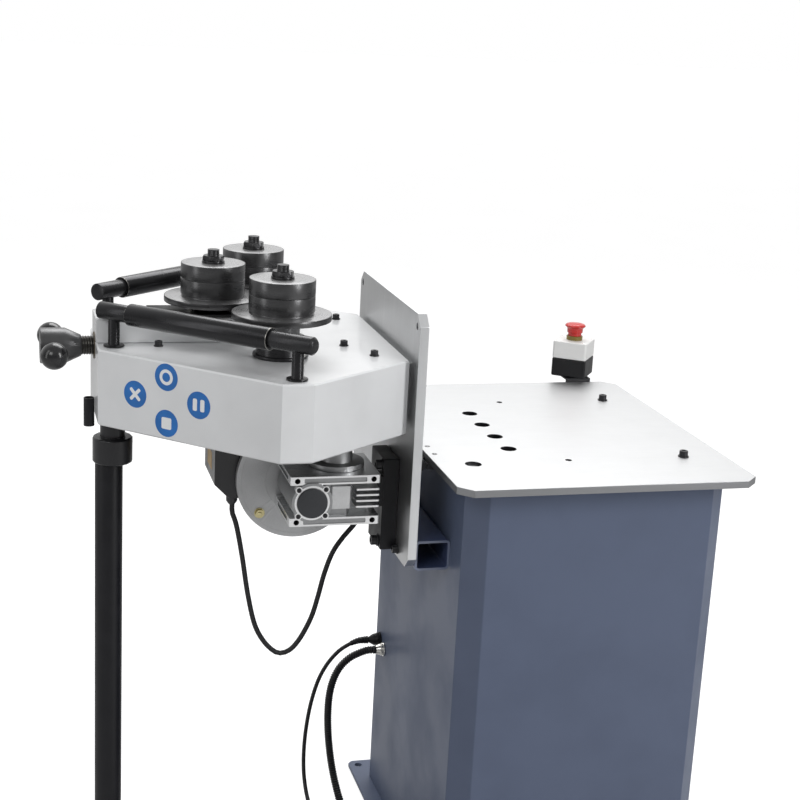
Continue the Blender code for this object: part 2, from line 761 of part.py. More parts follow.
def coil_points(centre, radius, turns, diameter, tail, tail_height):
    """Loops that spiral in on the floor, climb a layer, spiral out on top and run off in a tail.

    The coil is entered at its right side, heading forward, and is wound clockwise.
    """
    pitch = diameter + COIL_GAP
    floor_height = diameter / 2 + FLOOR_GAP
    total = COIL_LAYERS * turns + COIL_EXIT_TURN_SHARE
    points = []
    for i in range(round(total * COIL_STEPS) + 1):
        turn = i / COIL_STEPS
        wound = radius - pitch * (turn if turn < turns else COIL_LAYERS * turns - turn)
        climb = min(max((turn - turns) * 2 + 1 / 2, 0), 1)
        angle = -math.tau * turn
        x = centre[0] + wound * math.cos(angle)
        y = centre[1] + wound * math.sin(angle)
        points.append(Vector((x, y, floor_height + pitch * climb)))
    heading = Vector((math.sin(angle), -math.cos(angle), 0))
    last = points[-1]
    steps = round(tail / diameter)
    for i in range(1, steps + 1):
        share = i / steps
        rise = min(share * 5 / 4, 1)
        rise = rise * rise * (3 - 2 * rise)
        point = last + heading * (tail * share)
        point.z = last.z + (tail_height - last.z) * rise
        points.append(point)
    start = points[0] + BACK * (SPACING_DIAMETERS_SHARE * diameter)
    return [start] + points


def least_gap(points, diameter):
    """The narrowest gap between turns, measured on points of the tube's middle line."""
    gaps = []
    for i, point in enumerate(points):
        for j in range(i + COIL_STEPS // 2, len(points) - 1):
            along = points[j + 1] - points[j]
            share = (point - points[j]).dot(along) / along.length_squared
            nearest = points[j] + along * min(max(share, 0), 1)
            gaps.append((point - nearest).length - diameter)
    return min(gaps)


# Stand


def cabinet_base():
    half_width = CABINET_HALF_WIDTH + BASE_OVERHANG
    half_depth = CABINET_HALF_DEPTH + BASE_OVERHANG
    outline = rectangle(-half_width, half_width, -half_depth, half_depth, BASE_THICKNESS)
    base = extruded("cabinet_base", outline, 0, BASE_THICKNESS)
    for side in (-1, 1):
        for end in (-1, 1):
            x = side * (half_width - ANCHOR_HOLE_INSET)
            y = end * (half_depth - ANCHOR_HOLE_INSET)
            top = BASE_THICKNESS + CUT_OVERRUN
            bore(base, ANCHOR_HOLE_RADIUS, -CUT_OVERRUN, top, (x, y, 0), steps=SMALL_STEPS)
    finished(base, "cabinet_paint")


def cabinet_shell():
    """Four folded walls with a rim at the top, open below and at the rear panel."""
    width = CABINET_HALF_WIDTH
    depth = CABINET_HALF_DEPTH
    top = TABLE_UNDERSIDE - TOUCH_GAP
    outline = rectangle(-width, width, -depth, depth, CABINET_CORNER)
    shell = extruded("cabinet_shell", outline, BASE_THICKNESS + TOUCH_GAP, top)
    hollow = inset_outline(outline, CABINET_SHEET)
    mouth = inset_outline(outline, CABINET_SHEET + CABINET_RIM)
    opening_half_width = width - PANEL_MARGIN - PANEL_LAP
    opening_z = (PANEL_BOTTOM + PANEL_LAP, PANEL_BOTTOM + PANEL_HEIGHT - PANEL_LAP)
    cut(
        shell,
        extruded("hollow", hollow, 0, top - CABINET_SHEET),
        extruded("mouth", mouth, top - CABINET_SHEET - CUT_OVERRUN, top + CUT_OVERRUN),
        block(
            "opening",
            (-opening_half_width, opening_half_width),
            (depth - CABINET_SHEET - CUT_OVERRUN, depth + CUT_OVERRUN),
            opening_z,
        ),
    )
    finished(shell, "cabinet_paint")


def cabinet_rear_panel():
    half_width = CABINET_HALF_WIDTH - PANEL_MARGIN
    outline = rectangle(
        -half_width, half_width, PANEL_BOTTOM, PANEL_BOTTOM + PANEL_HEIGHT, PANEL_CORNER
    )
    inner = CABINET_HALF_DEPTH + TOUCH_GAP
    panel = extruded("cabinet_rear_panel", outline, inner, inner + PANEL_SHEET, "Y")
    finished(panel, "cabinet_paint")


def table_plate():
    """The table, with clearance for the head's bolts where the plate comes to lie on it."""
    half_width = TABLE_WIDTH / 2
    half_depth = TABLE_DEPTH / 2
    outline = rectangle(-half_width, half_width, -half_depth, half_depth, TABLE_CORNER)
    table = extruded("table_plate", outline, TABLE_UNDERSIDE, TABLE_HEIGHT, edge=TABLE_EDGE)
    low = TABLE_UNDERSIDE - CUT_OVERRUN
    high = TABLE_HEIGHT + CUT_OVERRUN
    for i in range(HEAD_BOLTS):
        y = (i - (HEAD_BOLTS - 1) / 2) * HEAD_BOLT_PITCH
        bore(table, BOLT_HEAD_CLEARANCE, low, high, (HINGE_X + HEAD_BOLT_UP, y, 0))
    for side in (-1, 1):
        lower = (HINGE_X + LOWER_HOLE_UP, side * LOWER_HOLE_SPREAD, 0)
        bore(table, LOWER_HOLE_RADIUS, low, high, lower, steps=SMALL_STEPS)
        bore(table, BOLT_HEAD_CLEARANCE, TABLE_HEIGHT - COUNTERBORE_DEPTH, high, lower)
        lock = (HINGE_X + LOCK_HOLE_UP, side * LOCK_HOLE_SPREAD, 0)
        bore(table, LOCK_HOLE_RADIUS, low, high, lock, steps=SMALL_STEPS)
    finished(table, "white_steel")


def tilt_stop_tube():
    """A rectangular tube on the cabinet's left wall, which the plate comes down on."""
    left = PLATE_RIGHT + TOUCH_GAP
    right = CABINET_LEFT - TOUCH_GAP
    top = HINGE_Z - STOP_TUBE_BELOW_HINGE
    bottom = top - STOP_TUBE_HEIGHT
    half = STOP_TUBE_LENGTH / 2
    outline = rectangle(left, right, bottom, top, STOP_TUBE_WALL / 2)
    bore_outline = rectangle(
        left + STOP_TUBE_WALL, right - STOP_TUBE_WALL, bottom + STOP_TUBE_WALL, top - STOP_TUBE_WALL
    )
    stop = extruded("tilt_stop_tube", outline, -half, half, "Y")
    cut(stop, extruded("tube_bore", bore_outline, -half - CUT_OVERRUN, half + CUT_OVERRUN, "Y"))
    finished(stop, "tube_paint")


def knuckle(name, y_low, y_high, reach, up):
    """A hinge eye along Y, with a neck that reaches to one side of it."""
    angle = math.asin(HINGE_NECK / HINGE_RADIUS)
    toward = 0 if reach > 0 else math.pi
    points = arc(HINGE_RADIUS, toward + angle, toward + math.tau - angle, SMALL_STEPS)
    signs = (-1, 1) if reach > 0 else (1, -1)
    points += [(reach, sign * HINGE_NECK) for sign in signs]
    outline = [(HINGE_X + x, HINGE_Z + z + up) for x, z in points]
    return extruded(name, outline, y_low, y_high, "Y")


def table_hinge(name, y):
    """The hinge half under the table's edge, with the middle eye."""
    half = HINGE_KNUCKLE_WIDTH / 2
    hinge = knuckle(name, y - half, y + half, HINGE_RADIUS + 3 * RUNNING_GAP + JOIN_OVERLAP, 0)
    leaf_top = TABLE_UNDERSIDE - TOUCH_GAP
    leaf = block(
        "leaf",
        (HINGE_X + HINGE_RADIUS + 3 * RUNNING_GAP, CABINET_LEFT - TOUCH_GAP),
        (y - HINGE_WIDTH / 2, y + HINGE_WIDTH / 2),
        (leaf_top - TABLE_LEAF_THICKNESS, leaf_top),
    )
    neck = block(
        "neck",
        (HINGE_X + HINGE_BORE_RADIUS, HINGE_X + HINGE_RADIUS + 4 * RUNNING_GAP),
        (y - half + JOIN_OVERLAP, y + half - JOIN_OVERLAP),
        (leaf_top - TABLE_LEAF_THICKNESS + JOIN_OVERLAP, HINGE_Z),
    )
    join(hinge, leaf, neck)
    reach = half + CUT_OVERRUN
    bore(hinge, HINGE_BORE_RADIUS, -reach, reach, (HINGE_X, y, HINGE_Z), BACK, SMALL_STEPS)
    finished(hinge, "black_paint")


def plate_hinge(name, y, parent):
    """The hinge half on the plate's right face, with two outer eyes and the pin through them."""
    leaf_left = HINGE_X - HINGE_DROP
    leaf_right = leaf_left + HINGE_LEAF_THICKNESS
    hinge = block(
        name,
        (leaf_left, leaf_right),
        (y - HINGE_WIDTH / 2 - JOIN_OVERLAP, y + HINGE_WIDTH / 2 + JOIN_OVERLAP),
        (HINGE_Z - HINGE_LEAF_DROP, HINGE_Z + HINGE_LEAF_RISE),
    )
    inner = HINGE_KNUCKLE_WIDTH / 2 + RUNNING_GAP
    outer = HINGE_WIDTH / 2
    reach = leaf_left + HINGE_LEAF_THICKNESS / 2 - HINGE_X
    front = knuckle("front_eye", y - outer, y - inner, reach, 0)
    rear = knuckle("rear_eye", y + inner, y + outer, reach, 0)
    pin_half = outer + HINGE_PIN_HEAD
    pin_radius = HINGE_BORE_RADIUS - TOUCH_GAP
    head = HINGE_PIN_HEAD_RADIUS
    seat = outer - JOIN_OVERLAP
    pin = turned(
        "pin",
        [
            (0, -pin_half),
            (head, -pin_half),
            (head, -seat),
            (pin_radius, -seat),
            (pin_radius, seat),
            (head, seat),
            (head, pin_half),
            (0, pin_half),
        ],
        (HINGE_X, y, HINGE_Z),
        BACK,
        SMALL_STEPS,
    )
    join(hinge, front, rear, pin)
    finished(hinge, "black_paint", parent)


# Emergency stop


def station_block(name, side, low, high):
    """A square block of the switch station, turned towards the operator."""
    half = side / 2
    shape = extruded(
        name, rectangle(-half, half, -half, half, STATION_EDGE), low, high, edge=STATION_EDGE / 2
    )
    shape.location = (STATION_X, STATION_Y, 0)
    shape.rotation_euler = (0, 0, STATION_TURN)
    return shape


def estop_station(button_empty):
    """The switch box on its bracket, and its button."""
    base_top = STATION_BOTTOM + STATION_BASE_HEIGHT
    base = station_block("estop_base", STATION_SIDE, STATION_BOTTOM, base_top)
    finished(base, "black_plastic")
    cover_bottom = base_top + TOUCH_GAP
    cover = station_block("estop_cover", STATION_SIDE, cover_bottom, STATION_TOP)
    at = (STATION_X, STATION_Y, 0)
    bezel_top = STATION_TOP + BEZEL_HEIGHT
    low = STATION_TOP - JOIN_OVERLAP
    bezel = rod("bezel", BEZEL_RADIUS, low, bezel_top, (0, 0, 0), edge=JOIN_OVERLAP)
    bezel.location = at
    join(cover, bezel)
    hole_bottom = STATION_TOP - BUTTON_BORE_DEPTH
    bore(cover, BUTTON_NECK_RADIUS + RUNNING_GAP, hole_bottom, bezel_top + CUT_OVERRUN, at)
    finished(cover, "white_plastic")
    neck_bottom = STATION_TOP - BUTTON_NECK_SUNK
    head_bottom = bezel_top + BUTTON_NECK_UP
    round_edge = BUTTON_HEAD_HEIGHT / 3
    rim = arc(
        round_edge,
        0,
        math.pi / 2,
        4,
        (BUTTON_RADIUS - round_edge, head_bottom + BUTTON_HEAD_HEIGHT - round_edge),
    )
    profile = [(0, neck_bottom), (BUTTON_NECK_RADIUS, neck_bottom)]
    profile += [(BUTTON_NECK_RADIUS, head_bottom), (BUTTON_RADIUS, head_bottom)]
    profile += rim + [(0, head_bottom + BUTTON_HEAD_HEIGHT)]
    button = turned("estop_button", profile, at)
    finished(button, "red_plastic", button_empty)


def estop_bracket():
    """An angle behind the table, with a gusset, under the switch box."""
    top = STATION_BOTTOM - TOUCH_GAP
    back = TABLE_DEPTH / 2 + TOUCH_GAP
    half = STATION_PLATE_WIDTH / 2
    across = (STATION_X - half, STATION_X + half)
    bottom = top - STATION_PLATE_DROP
    outline = [
        (back, bottom),
        (back + STATION_PLATE, bottom),
        (back + STATION_PLATE, top - STATION_PLATE),
        (back + STATION_PLATE_REACH, top - STATION_PLATE),
        (back + STATION_PLATE_REACH, top),
        (back, top),
    ]
    bracket = extruded("estop_bracket", outline, *across, "X")
    inner = back + STATION_PLATE - JOIN_OVERLAP
    under = top - STATION_PLATE + JOIN_OVERLAP
    gusset = [(inner, under - GUSSET_REACH), (inner + GUSSET_REACH, under), (inner, under)]
    half_gusset = STATION_PLATE / 2
    join(
        bracket,
        extruded("gusset", gusset, STATION_X - half_gusset, STATION_X + half_gusset, "X"),
    )
    finished(bracket, "black_paint")


# Glands, leads, plug and pedal


def wall_gland(name, y, height, length, lead_radius, finish):
    """A cable gland on the cabinet's left wall, tapering to its lead."""
    flange = GLAND_FLANGE_THICKNESS
    taper_start = flange + (length - flange) * (1 - GLAND_TAPER_SHARE)
    tip = lead_radius + JOIN_OVERLAP
    profile = [
        (0, 0),
        (GLAND_FLANGE_RADIUS, 0),
        (GLAND_FLANGE_RADIUS, flange),
        (GLAND_BODY_RADIUS, flange),
        (GLAND_BODY_RADIUS, taper_start),
        (tip, length),
        (0, length),
    ]
    at = (CABINET_LEFT - TOUCH_GAP, y, height)
    finished(turned(name, profile, at, LEFT, SMALL_STEPS), finish)


def free_lead(name, start, route, end, heading, diameter, finish, parent=None, ribs=0):
    """A lead from its gland, along its route, to the piece that it ends at."""
    points = [start + LEFT * diameter] + [Vector(point) for point in route]
    points.append(end - heading * diameter)
    spacing = SPACING_DIAMETERS_SHARE * diameter
    if ribs:
        spacing = route_length(smooth_route(points, diameter)) / (2 * ribs)
    even = [start] + smooth_route(points, spacing) + [end]
    radii = None
    if ribs:
        narrow = 1 - 2 * CONDUIT_GROOVE / diameter
        radii = [narrow if i % 2 and i < len(even) - 1 else 1 for i in range(len(even))]
    lead = tube(name, even, diameter, radii=radii)
    print(name, "is", round(route_length(even), 3), "m long")
    finished(lead, finish, parent)


def coil(name, centre, radius, turns, diameter, tail, tail_height, finish):
    """A coil of a lead on the floor. It gives its first point, its last point and its heading."""
    points = coil_points(centre, radius, turns, diameter, tail, tail_height)
    finished(tube(name, points, diameter, sides=1), finish)
    length = round(route_length(points), 3)
    gap = round(least_gap(points, diameter), 5)
    print(name, "is", length, "m long, and its turns are", gap, "m apart")
    heading = points[-1] - points[-2]
    heading.z = 0
    return points[0], points[-1], heading.normalized()


def mains_lead():
    """The mains lead, its gland, its coil and its plug."""
    radius = MAINS_DIAMETER / 2
    wall_gland(
        "mains_gland", MAINS_GLAND_Y, MAINS_GLAND_HEIGHT, MAINS_GLAND_LENGTH, radius, "black_plastic"
    )
    first, last, heading = coil(
        "mains_lead_coil",
        (MAINS_COIL_X, MAINS_COIL_Y),
        MAINS_COIL_RADIUS,
        MAINS_COIL_TURNS,
        MAINS_DIAMETER,
        MAINS_TAIL,
        PLUG_RADIUS + FLOOR_GAP,
        "rubber",
    )
    start_x = CABINET_LEFT - 2 * TOUCH_GAP - MAINS_GLAND_LENGTH
    start = Vector((start_x, MAINS_GLAND_Y, MAINS_GLAND_HEIGHT))
    end = first + BACK * TOUCH_GAP
    free_lead("mains_lead", start, MAINS_ROUTE, end, FRONT, MAINS_DIAMETER, "rubber")
    mains_plug(last + heading * TOUCH_GAP, heading)


def mains_plug(at, heading):
    """A plug with two round pins, lying on the floor at the end of the coil."""
    body_end = PLUG_GRIP_LENGTH + PLUG_LENGTH
    profile = [
        (0, 0),
        (PLUG_GRIP_RADIUS - PLUG_EDGE, 0),
        (PLUG_GRIP_RADIUS, PLUG_GRIP_LENGTH),
        (PLUG_RADIUS - PLUG_EDGE, PLUG_GRIP_LENGTH + PLUG_EDGE),
        (PLUG_RADIUS, PLUG_GRIP_LENGTH + 2 * PLUG_EDGE),
        (PLUG_RADIUS, body_end - PLUG_EDGE),
        (PLUG_RADIUS - PLUG_EDGE, body_end),
        (0, body_end),
    ]
    plug = turned("mains_plug", profile, at, heading, SMALL_STEPS)
    side = heading.cross(UP).normalized()
    for sign in (-1, 1):
        foot = at + side * (sign * PLUG_PIN_SPREAD)
        pin = rod(
            "pin",
            PLUG_PIN_RADIUS,
            body_end - JOIN_OVERLAP,
            body_end + PLUG_PIN_LENGTH,
            foot,
            heading,
            SMALL_STEPS,
        )
        join(plug, pin)
    finished(plug, "black_plastic")


def pedal_conduit():
    """The ribbed conduit to the foot pedal, its gland and its coil. It gives its end and heading."""
    radius = CONDUIT_DIAMETER / 2
    wall_gland(
        "conduit_gland", CONDUIT_GLAND_Y, CONDUIT_GLAND_HEIGHT, CONDUIT_GLAND_LENGTH, radius, "nickel"
    )
    first, last, heading = coil(
        "pedal_conduit_coil",
        (CONDUIT_COIL_X, CONDUIT_COIL_Y),
        CONDUIT_COIL_RADIUS,
        CONDUIT_COIL_TURNS,
        CONDUIT_DIAMETER,
        CONDUIT_TAIL,
        PEDAL_INLET_HEIGHT,
        "rubber",
    )
    start_x = CABINET_LEFT - 2 * TOUCH_GAP - CONDUIT_GLAND_LENGTH
    start = Vector((start_x, CONDUIT_GLAND_Y, CONDUIT_GLAND_HEIGHT))
    end = first + BACK * TOUCH_GAP
    diameter = CONDUIT_DIAMETER
    free_lead(
        "pedal_conduit", start, CONDUIT_ROUTE, end, FRONT, diameter, "rubber", ribs=CONDUIT_RIBS
    )
    return last, heading


def pedal_place(last, heading):
    """The middle of the pedal's rear end on the floor, and its turn about the upright axis."""
    foot = last + heading * TOUCH_GAP
    foot.z = 0
    return foot, math.atan2(heading.y, heading.x)


def pedal_base(foot, turn):
    """A low box on the floor, with two cheeks that carry the tread's pivot."""
    half = PEDAL_WIDTH / 2
    outline = rectangle(0, PEDAL_LENGTH, -half, half, PEDAL_CORNER)
    base = extruded("pedal_base", outline, 0, PEDAL_HEIGHT, edge=PEDAL_EDGE)
    pivot_z = PEDAL_HEIGHT + PIVOT_UP
    for side in (-1, 1):
        inner = side * (TREAD_WIDTH / 2 + RUNNING_GAP)
        outer = inner + side * CHEEK_THICKNESS
        points = arc(CHEEK_RADIUS, 0, math.pi, SMALL_STEPS // 2, (PIVOT_FROM_END, pivot_z))
        low = PEDAL_HEIGHT - JOIN_OVERLAP - PEDAL_EDGE / 2
        points += [(PIVOT_FROM_END - CHEEK_RADIUS, low), (PIVOT_FROM_END + CHEEK_RADIUS, low)]
        join(base, extruded("cheek", points, min(inner, outer), max(inner, outer), "Y"))
    bore(base, PIVOT_BORE_RADIUS, -half, half, (PIVOT_FROM_END, 0, pivot_z), BACK, SMALL_STEPS)
    base.location = foot
    base.rotation_euler = (0, 0, turn)
    finished(base, "black_paint")


def pedal_tread(foot, turn, parent):
    """The tread on its pivot pin, raised by its spring, with ribs across its top."""
    half = TREAD_WIDTH / 2
    pivot_z = PEDAL_HEIGHT + PIVOT_UP
    length = PEDAL_LENGTH - PIVOT_FROM_END + TREAD_OVERLAP
    thickness = TREAD_THICKNESS
    outline = [(0, 0), (length, 0), (length, thickness), (0, thickness)]
    tread = extruded("pedal_tread", outline, -half + JOIN_OVERLAP, half - JOIN_OVERLAP, "Y")
    barrel = rod("barrel", TREAD_BARREL_RADIUS, -half, half, (0, 0, 0), BACK, SMALL_STEPS)
    pin_half = half + CHEEK_THICKNESS
    pin = rod("pin", PIVOT_PIN_RADIUS, -pin_half, pin_half, (0, 0, 0), BACK, SMALL_STEPS)
    join(tread, barrel, pin)
    step = (length - 2 * TREAD_BARREL_RADIUS) / TREAD_RIBS
    for i in range(TREAD_RIBS):
        x = 2 * TREAD_BARREL_RADIUS + i * step
        rib = block(
            "rib",
            (x, x + TREAD_RIB_WIDTH),
            (-half + TREAD_RIB_WIDTH, half - TREAD_RIB_WIDTH),
            (thickness - JOIN_OVERLAP, thickness + TREAD_RIB_HEIGHT),
        )
        join(tread, rib)
    tread.matrix_world = (
        Matrix.Translation(foot)
        @ Matrix.Rotation(turn, 4, "Z")
        @ Matrix.Translation((PIVOT_FROM_END, 0, pivot_z))
        @ Matrix.Rotation(-TREAD_LIFT, 4, "Y")
    )
    finished(tread, "rubber", parent)


# Tilting plate and head housing


def head_plate(parent):
    half = PLATE_WIDTH / 2
    low = HINGE_Z - PLATE_BELOW_HINGE
    high = HINGE_Z + PLATE_ABOVE_HINGE
    outline = rectangle(-half, half, low, high, PLATE_CORNER)
    plate = extruded("head_plate", outline, PLATE_LEFT, PLATE_RIGHT, "X", PLATE_EDGE)
    through = (PLATE_LEFT - CUT_OVERRUN, PLATE_RIGHT + CUT_OVERRUN)
    for side in (-1, 1):
        at = (0, side * LOCK_HOLE_SPREAD, HINGE_Z + LOCK_HOLE_UP)
        bore(plate, LOCK_HOLE_RADIUS, *through, at, RIGHT, SMALL_STEPS)
    at = (0, MOTOR_CABLE_Y, MOTOR_CABLE_HEIGHT)
    bore(plate, CABLE_HOLE_RADIUS, *through, at, RIGHT, SMALL_STEPS)
    finished(plate, "ground_steel", parent)


def head_outline():
    """The head seen from above, counter-clockwise."""
    shoulder_x = PLATE_LEFT - HEAD_SHOULDER_REACH
    waist_x = PLATE_LEFT - HEAD_WAIST_REACH
    front = [
        (NOSE_X, -HEAD_NOSE_HALF_WIDTH),
        (shoulder_x, -HEAD_HALF_WIDTH),
        (waist_x, -HEAD_HALF_WIDTH),
        (TAIL_X, -HEAD_TAIL_HALF_WIDTH),
    ]
    return front + [(x, -y) for x, y in reversed(front)]


def slide_slot(low, high):
    """The slot that the slide runs in."""
    half = SLIDE_HALF_WIDTH + RUNNING_GAP
    x = (SLIDE_LEFT - SLIDE_TRAVEL - SLIDE_END_GAP, PRESS_X + SLIDE_HALF_LENGTH + SLIDE_END_GAP)
    return block("slot", x, (-half, half), (low, high))


def screw_channel():
    """The way of the pressing screw, from the nose to the slot, with a seat for its nut."""
    depth = SLIDE_LEFT - NOSE_X
    seat = NUT_RADIUS + TOUCH_GAP
    nut = NUT_LENGTH + TOUCH_GAP
    way = SCREW_RADIUS + 3 * RUNNING_GAP
    profile = [(0, -CUT_OVERRUN), (seat, -CUT_OVERRUN), (seat, nut), (way, nut), (way, depth)]
    return turned("channel", profile + [(0, depth)], (NOSE_X, 0, SCREW_Z), RIGHT)


def head_housing(parent):
    """A hollow casting, open below, whose tail seats on the tilting plate."""
    outline = head_outline()
    housing = extruded("head_housing", outline, HEAD_BOTTOM, HEAD_TOP, edge=HEAD_EDGE)
    pad = block(
        "pad",
        (TAIL_X - HEAD_WALL / 2, PLATE_LEFT - TOUCH_GAP),
        (-TAIL_PAD_HALF_WIDTH, TAIL_PAD_HALF_WIDTH),
        (HEAD_BOTTOM + TAIL_PAD_MARGIN, HEAD_TOP - TAIL_PAD_MARGIN),
    )
    join(housing, pad)
    hollow = inset_outline(outline, HEAD_WALL)
    ceiling = HEAD_TOP - HEAD_TOP_WALL
    cut(
        housing,
        extruded("hollow", hollow, HEAD_BOTTOM - CUT_OVERRUN, ceiling),
        slide_slot(ceiling - CUT_OVERRUN, HEAD_TOP + CUT_OVERRUN),
        screw_channel(),
    )
    for side in (-1, 1):
        at = (DRIVE_X, side * DRIVE_Y, 0)
        radius = SHAFT_RADIUS + 3 * RUNNING_GAP
        bore(housing, radius, ceiling - CUT_OVERRUN, HEAD_TOP + CUT_OVERRUN, at)
    finished(housing, "head_paint", parent)


def housing_floor(parent):
    """The plate that closes the head from below, with the idler's pin and the shafts' bearings."""
    outline = inset_outline(head_outline(), HEAD_WALL + TOUCH_GAP)
    floor = extruded("housing_floor", outline, HEAD_BOTTOM, FLOOR_TOP)
    collar_top = GEAR_BOTTOM - RUNNING_GAP
    pin_top = GEAR_TOP + GEAR_HUB_HEIGHT
    low = FLOOR_TOP - JOIN_OVERLAP
    profile = [
        (0, low),
        (IDLER_PIN_COLLAR_RADIUS, low),
        (IDLER_PIN_COLLAR_RADIUS, collar_top),
        (IDLER_PIN_RADIUS, collar_top),
        (IDLER_PIN_RADIUS, pin_top),
        (0, pin_top),
    ]
    join(floor, turned("idler_pin", profile, (DRIVE_X, 0, 0)))
    through = (HEAD_BOTTOM - CUT_OVERRUN, FLOOR_TOP + CUT_OVERRUN)
    for side in (-1, 1):
        bore(floor, SHAFT_RADIUS + RUNNING_GAP, *through, (DRIVE_X, side * DRIVE_Y, 0))
    bore(floor, PINION_SHAFT_RADIUS + 3 * RUNNING_GAP, *through, (PINION_X, PINION_Y, 0))
    finished(floor, "black_paint", parent)


def slide_guide(parent):
    half = GUIDE_HALF_WIDTH
    low = HEAD_TOP + TOUCH_GAP
    x = (NOSE_X, NOSE_X + GUIDE_LENGTH)
    guide = block("slide_guide", x, (-half, half), (low, GUIDE_TOP), GUIDE_EDGE)
    cut(guide, slide_slot(low - CUT_OVERRUN, GUIDE_TOP + CUT_OVERRUN), screw_channel())
    finished(guide, "head_paint", parent)


def screw_nut(parent):
    inner = SCREW_RADIUS + RUNNING_GAP
    profile = [(inner, -NUT_PROUD), (NUT_RADIUS, -NUT_PROUD), (NUT_RADIUS, NUT_LENGTH)]
    nut = turned("screw_nut", profile + [(inner, NUT_LENGTH)], (NOSE_X, 0, SCREW_Z), RIGHT)
    finished(nut, "bronze", parent)


def bearing_boss(name, y, parent):
    """The bearing housing of a driven roll, on top of the head."""
    inner = SHAFT_RADIUS + RUNNING_GAP
    low = HEAD_TOP + TOUCH_GAP
    flange = low + BOSS_FLANGE_HEIGHT
    top = HEAD_TOP + BOSS_HEIGHT
    profile = [
        (inner, low),
        (BOSS_FLANGE_RADIUS, low),
        (BOSS_FLANGE_RADIUS, flange),
        (BOSS_RADIUS, flange),
        (BOSS_RADIUS, top - BOSS_EDGE),
        (BOSS_RADIUS - BOSS_EDGE, top),
        (inner, top),
    ]
    finished(turned(name, profile, (DRIVE_X, y, 0)), "black_oxide", parent)


# Slide, pressing screw and handle


def slide_block(parent):
    """The slide, with its cover plate on the guide, the roll shaft's bore and the screw's pocket."""
    half = SLIDE_HALF_WIDTH
    x = (SLIDE_LEFT, PRESS_X + SLIDE_HALF_LENGTH)
    low = HEAD_TOP - SLIDE_DEPTH
    cover_low = GUIDE_TOP + TOUCH_GAP
    slide = block("slide_block", x, (-half, half), (low, cover_low + JOIN_OVERLAP))
    cover_x = (PRESS_X - SLIDE_COVER_BACK, PRESS_X + SLIDE_COVER_FRONT)
    width = (-GUIDE_HALF_WIDTH, GUIDE_HALF_WIDTH)
    join(slide, block("cover", cover_x, width, (cover_low, COVER_TOP), TOUCH_GAP))
    radius = SHAFT_RADIUS + TOUCH_GAP
    bore(slide, radius, low - CUT_OVERRUN, COVER_TOP + CUT_OVERRUN, (PRESS_X, 0, 0))
    pocket = (-CUT_OVERRUN, SCREW_TIP_DEPTH + TOUCH_GAP)
    at = (SLIDE_LEFT, 0, SCREW_Z)
    bore(slide, SCREW_TIP_RADIUS + RUNNING_GAP, *pocket, at, RIGHT)
    finished(slide, "black_oxide", parent)


def lead_screw(parent):
    """The pressing screw, from the slide's pocket to the neck inside the hub."""
    shoulder = TOUCH_GAP
    neck = SLIDE_LEFT - HUB_RIGHT - TOUCH_GAP
    end = neck + SCREW_NECK_LENGTH
    profile = [
        (0, -SCREW_TIP_DEPTH),
        (SCREW_TIP_RADIUS, -SCREW_TIP_DEPTH),
        (SCREW_TIP_RADIUS, shoulder),
        (SCREW_RADIUS, shoulder),
        (SCREW_RADIUS, neck),
        (SCREW_NECK_RADIUS, neck),
        (SCREW_NECK_RADIUS, end),
        (0, end),
    ]
    finished(turned("lead_screw", profile, (SLIDE_LEFT, 0, SCREW_Z), LEFT), "ground_steel", parent)


def screw_hub(parent):
    """The handle's hub, coned towards the nut, with a cross hole for the bar."""
    cone = HUB_CONE_LENGTH
    end = cone + HUB_LENGTH
    inner = SCREW_NECK_RADIUS + TOUCH_GAP
    profile = [
        (inner, 0),
        (HUB_CONE_RADIUS, 0),
        (HUB_RADIUS, cone),
        (HUB_RADIUS, end - HUB_EDGE),
        (HUB_RADIUS - HUB_EDGE, end),
        (inner, end),
    ]
    hub = turned("screw_hub", profile, (HUB_RIGHT, 0, SCREW_Z), LEFT)
    bar_at = (HUB_RIGHT - cone - HUB_LENGTH / 2, 0, SCREW_Z)
    direction = Vector((0, math.cos(HANDLE_TILT), math.sin(HANDLE_TILT)))
    reach = HUB_RADIUS + CUT_OVERRUN
    bore(hub, HANDLE_BAR_RADIUS + TOUCH_GAP, -reach, reach, bar_at, direction, SMALL_STEPS)
    finished(hub, "black_oxide", parent)


def handle_bar(parent):
    """The bar through the hub, with a ball knob at each end."""
    meet = math.asin(HANDLE_BAR_RADIUS / HANDLE_KNOB_RADIUS)
    ball = arc(HANDLE_KNOB_RADIUS, 0, math.pi - meet, SMALL_STEPS - SMALL_STEPS // 3)
    half = [(r, h) for h, r in ball]
    top = [(r, HANDLE_HALF_LENGTH + h) for r, h in half]
    profile = [(r, -h) for r, h in top]
    profile += list(reversed(top))
    profile = [(0 if r < WELD_DISTANCE else r, h) for r, h in profile]
    at = (HUB_RIGHT - HUB_CONE_LENGTH - HUB_LENGTH / 2, 0, SCREW_Z)
    direction = Vector((0, math.cos(HANDLE_TILT), math.sin(HANDLE_TILT)))
    bar = turned("handle_bar", profile, at, direction, SMALL_STEPS)
    finished(bar, "black_plastic", parent)


# Rolls, shafts and gears


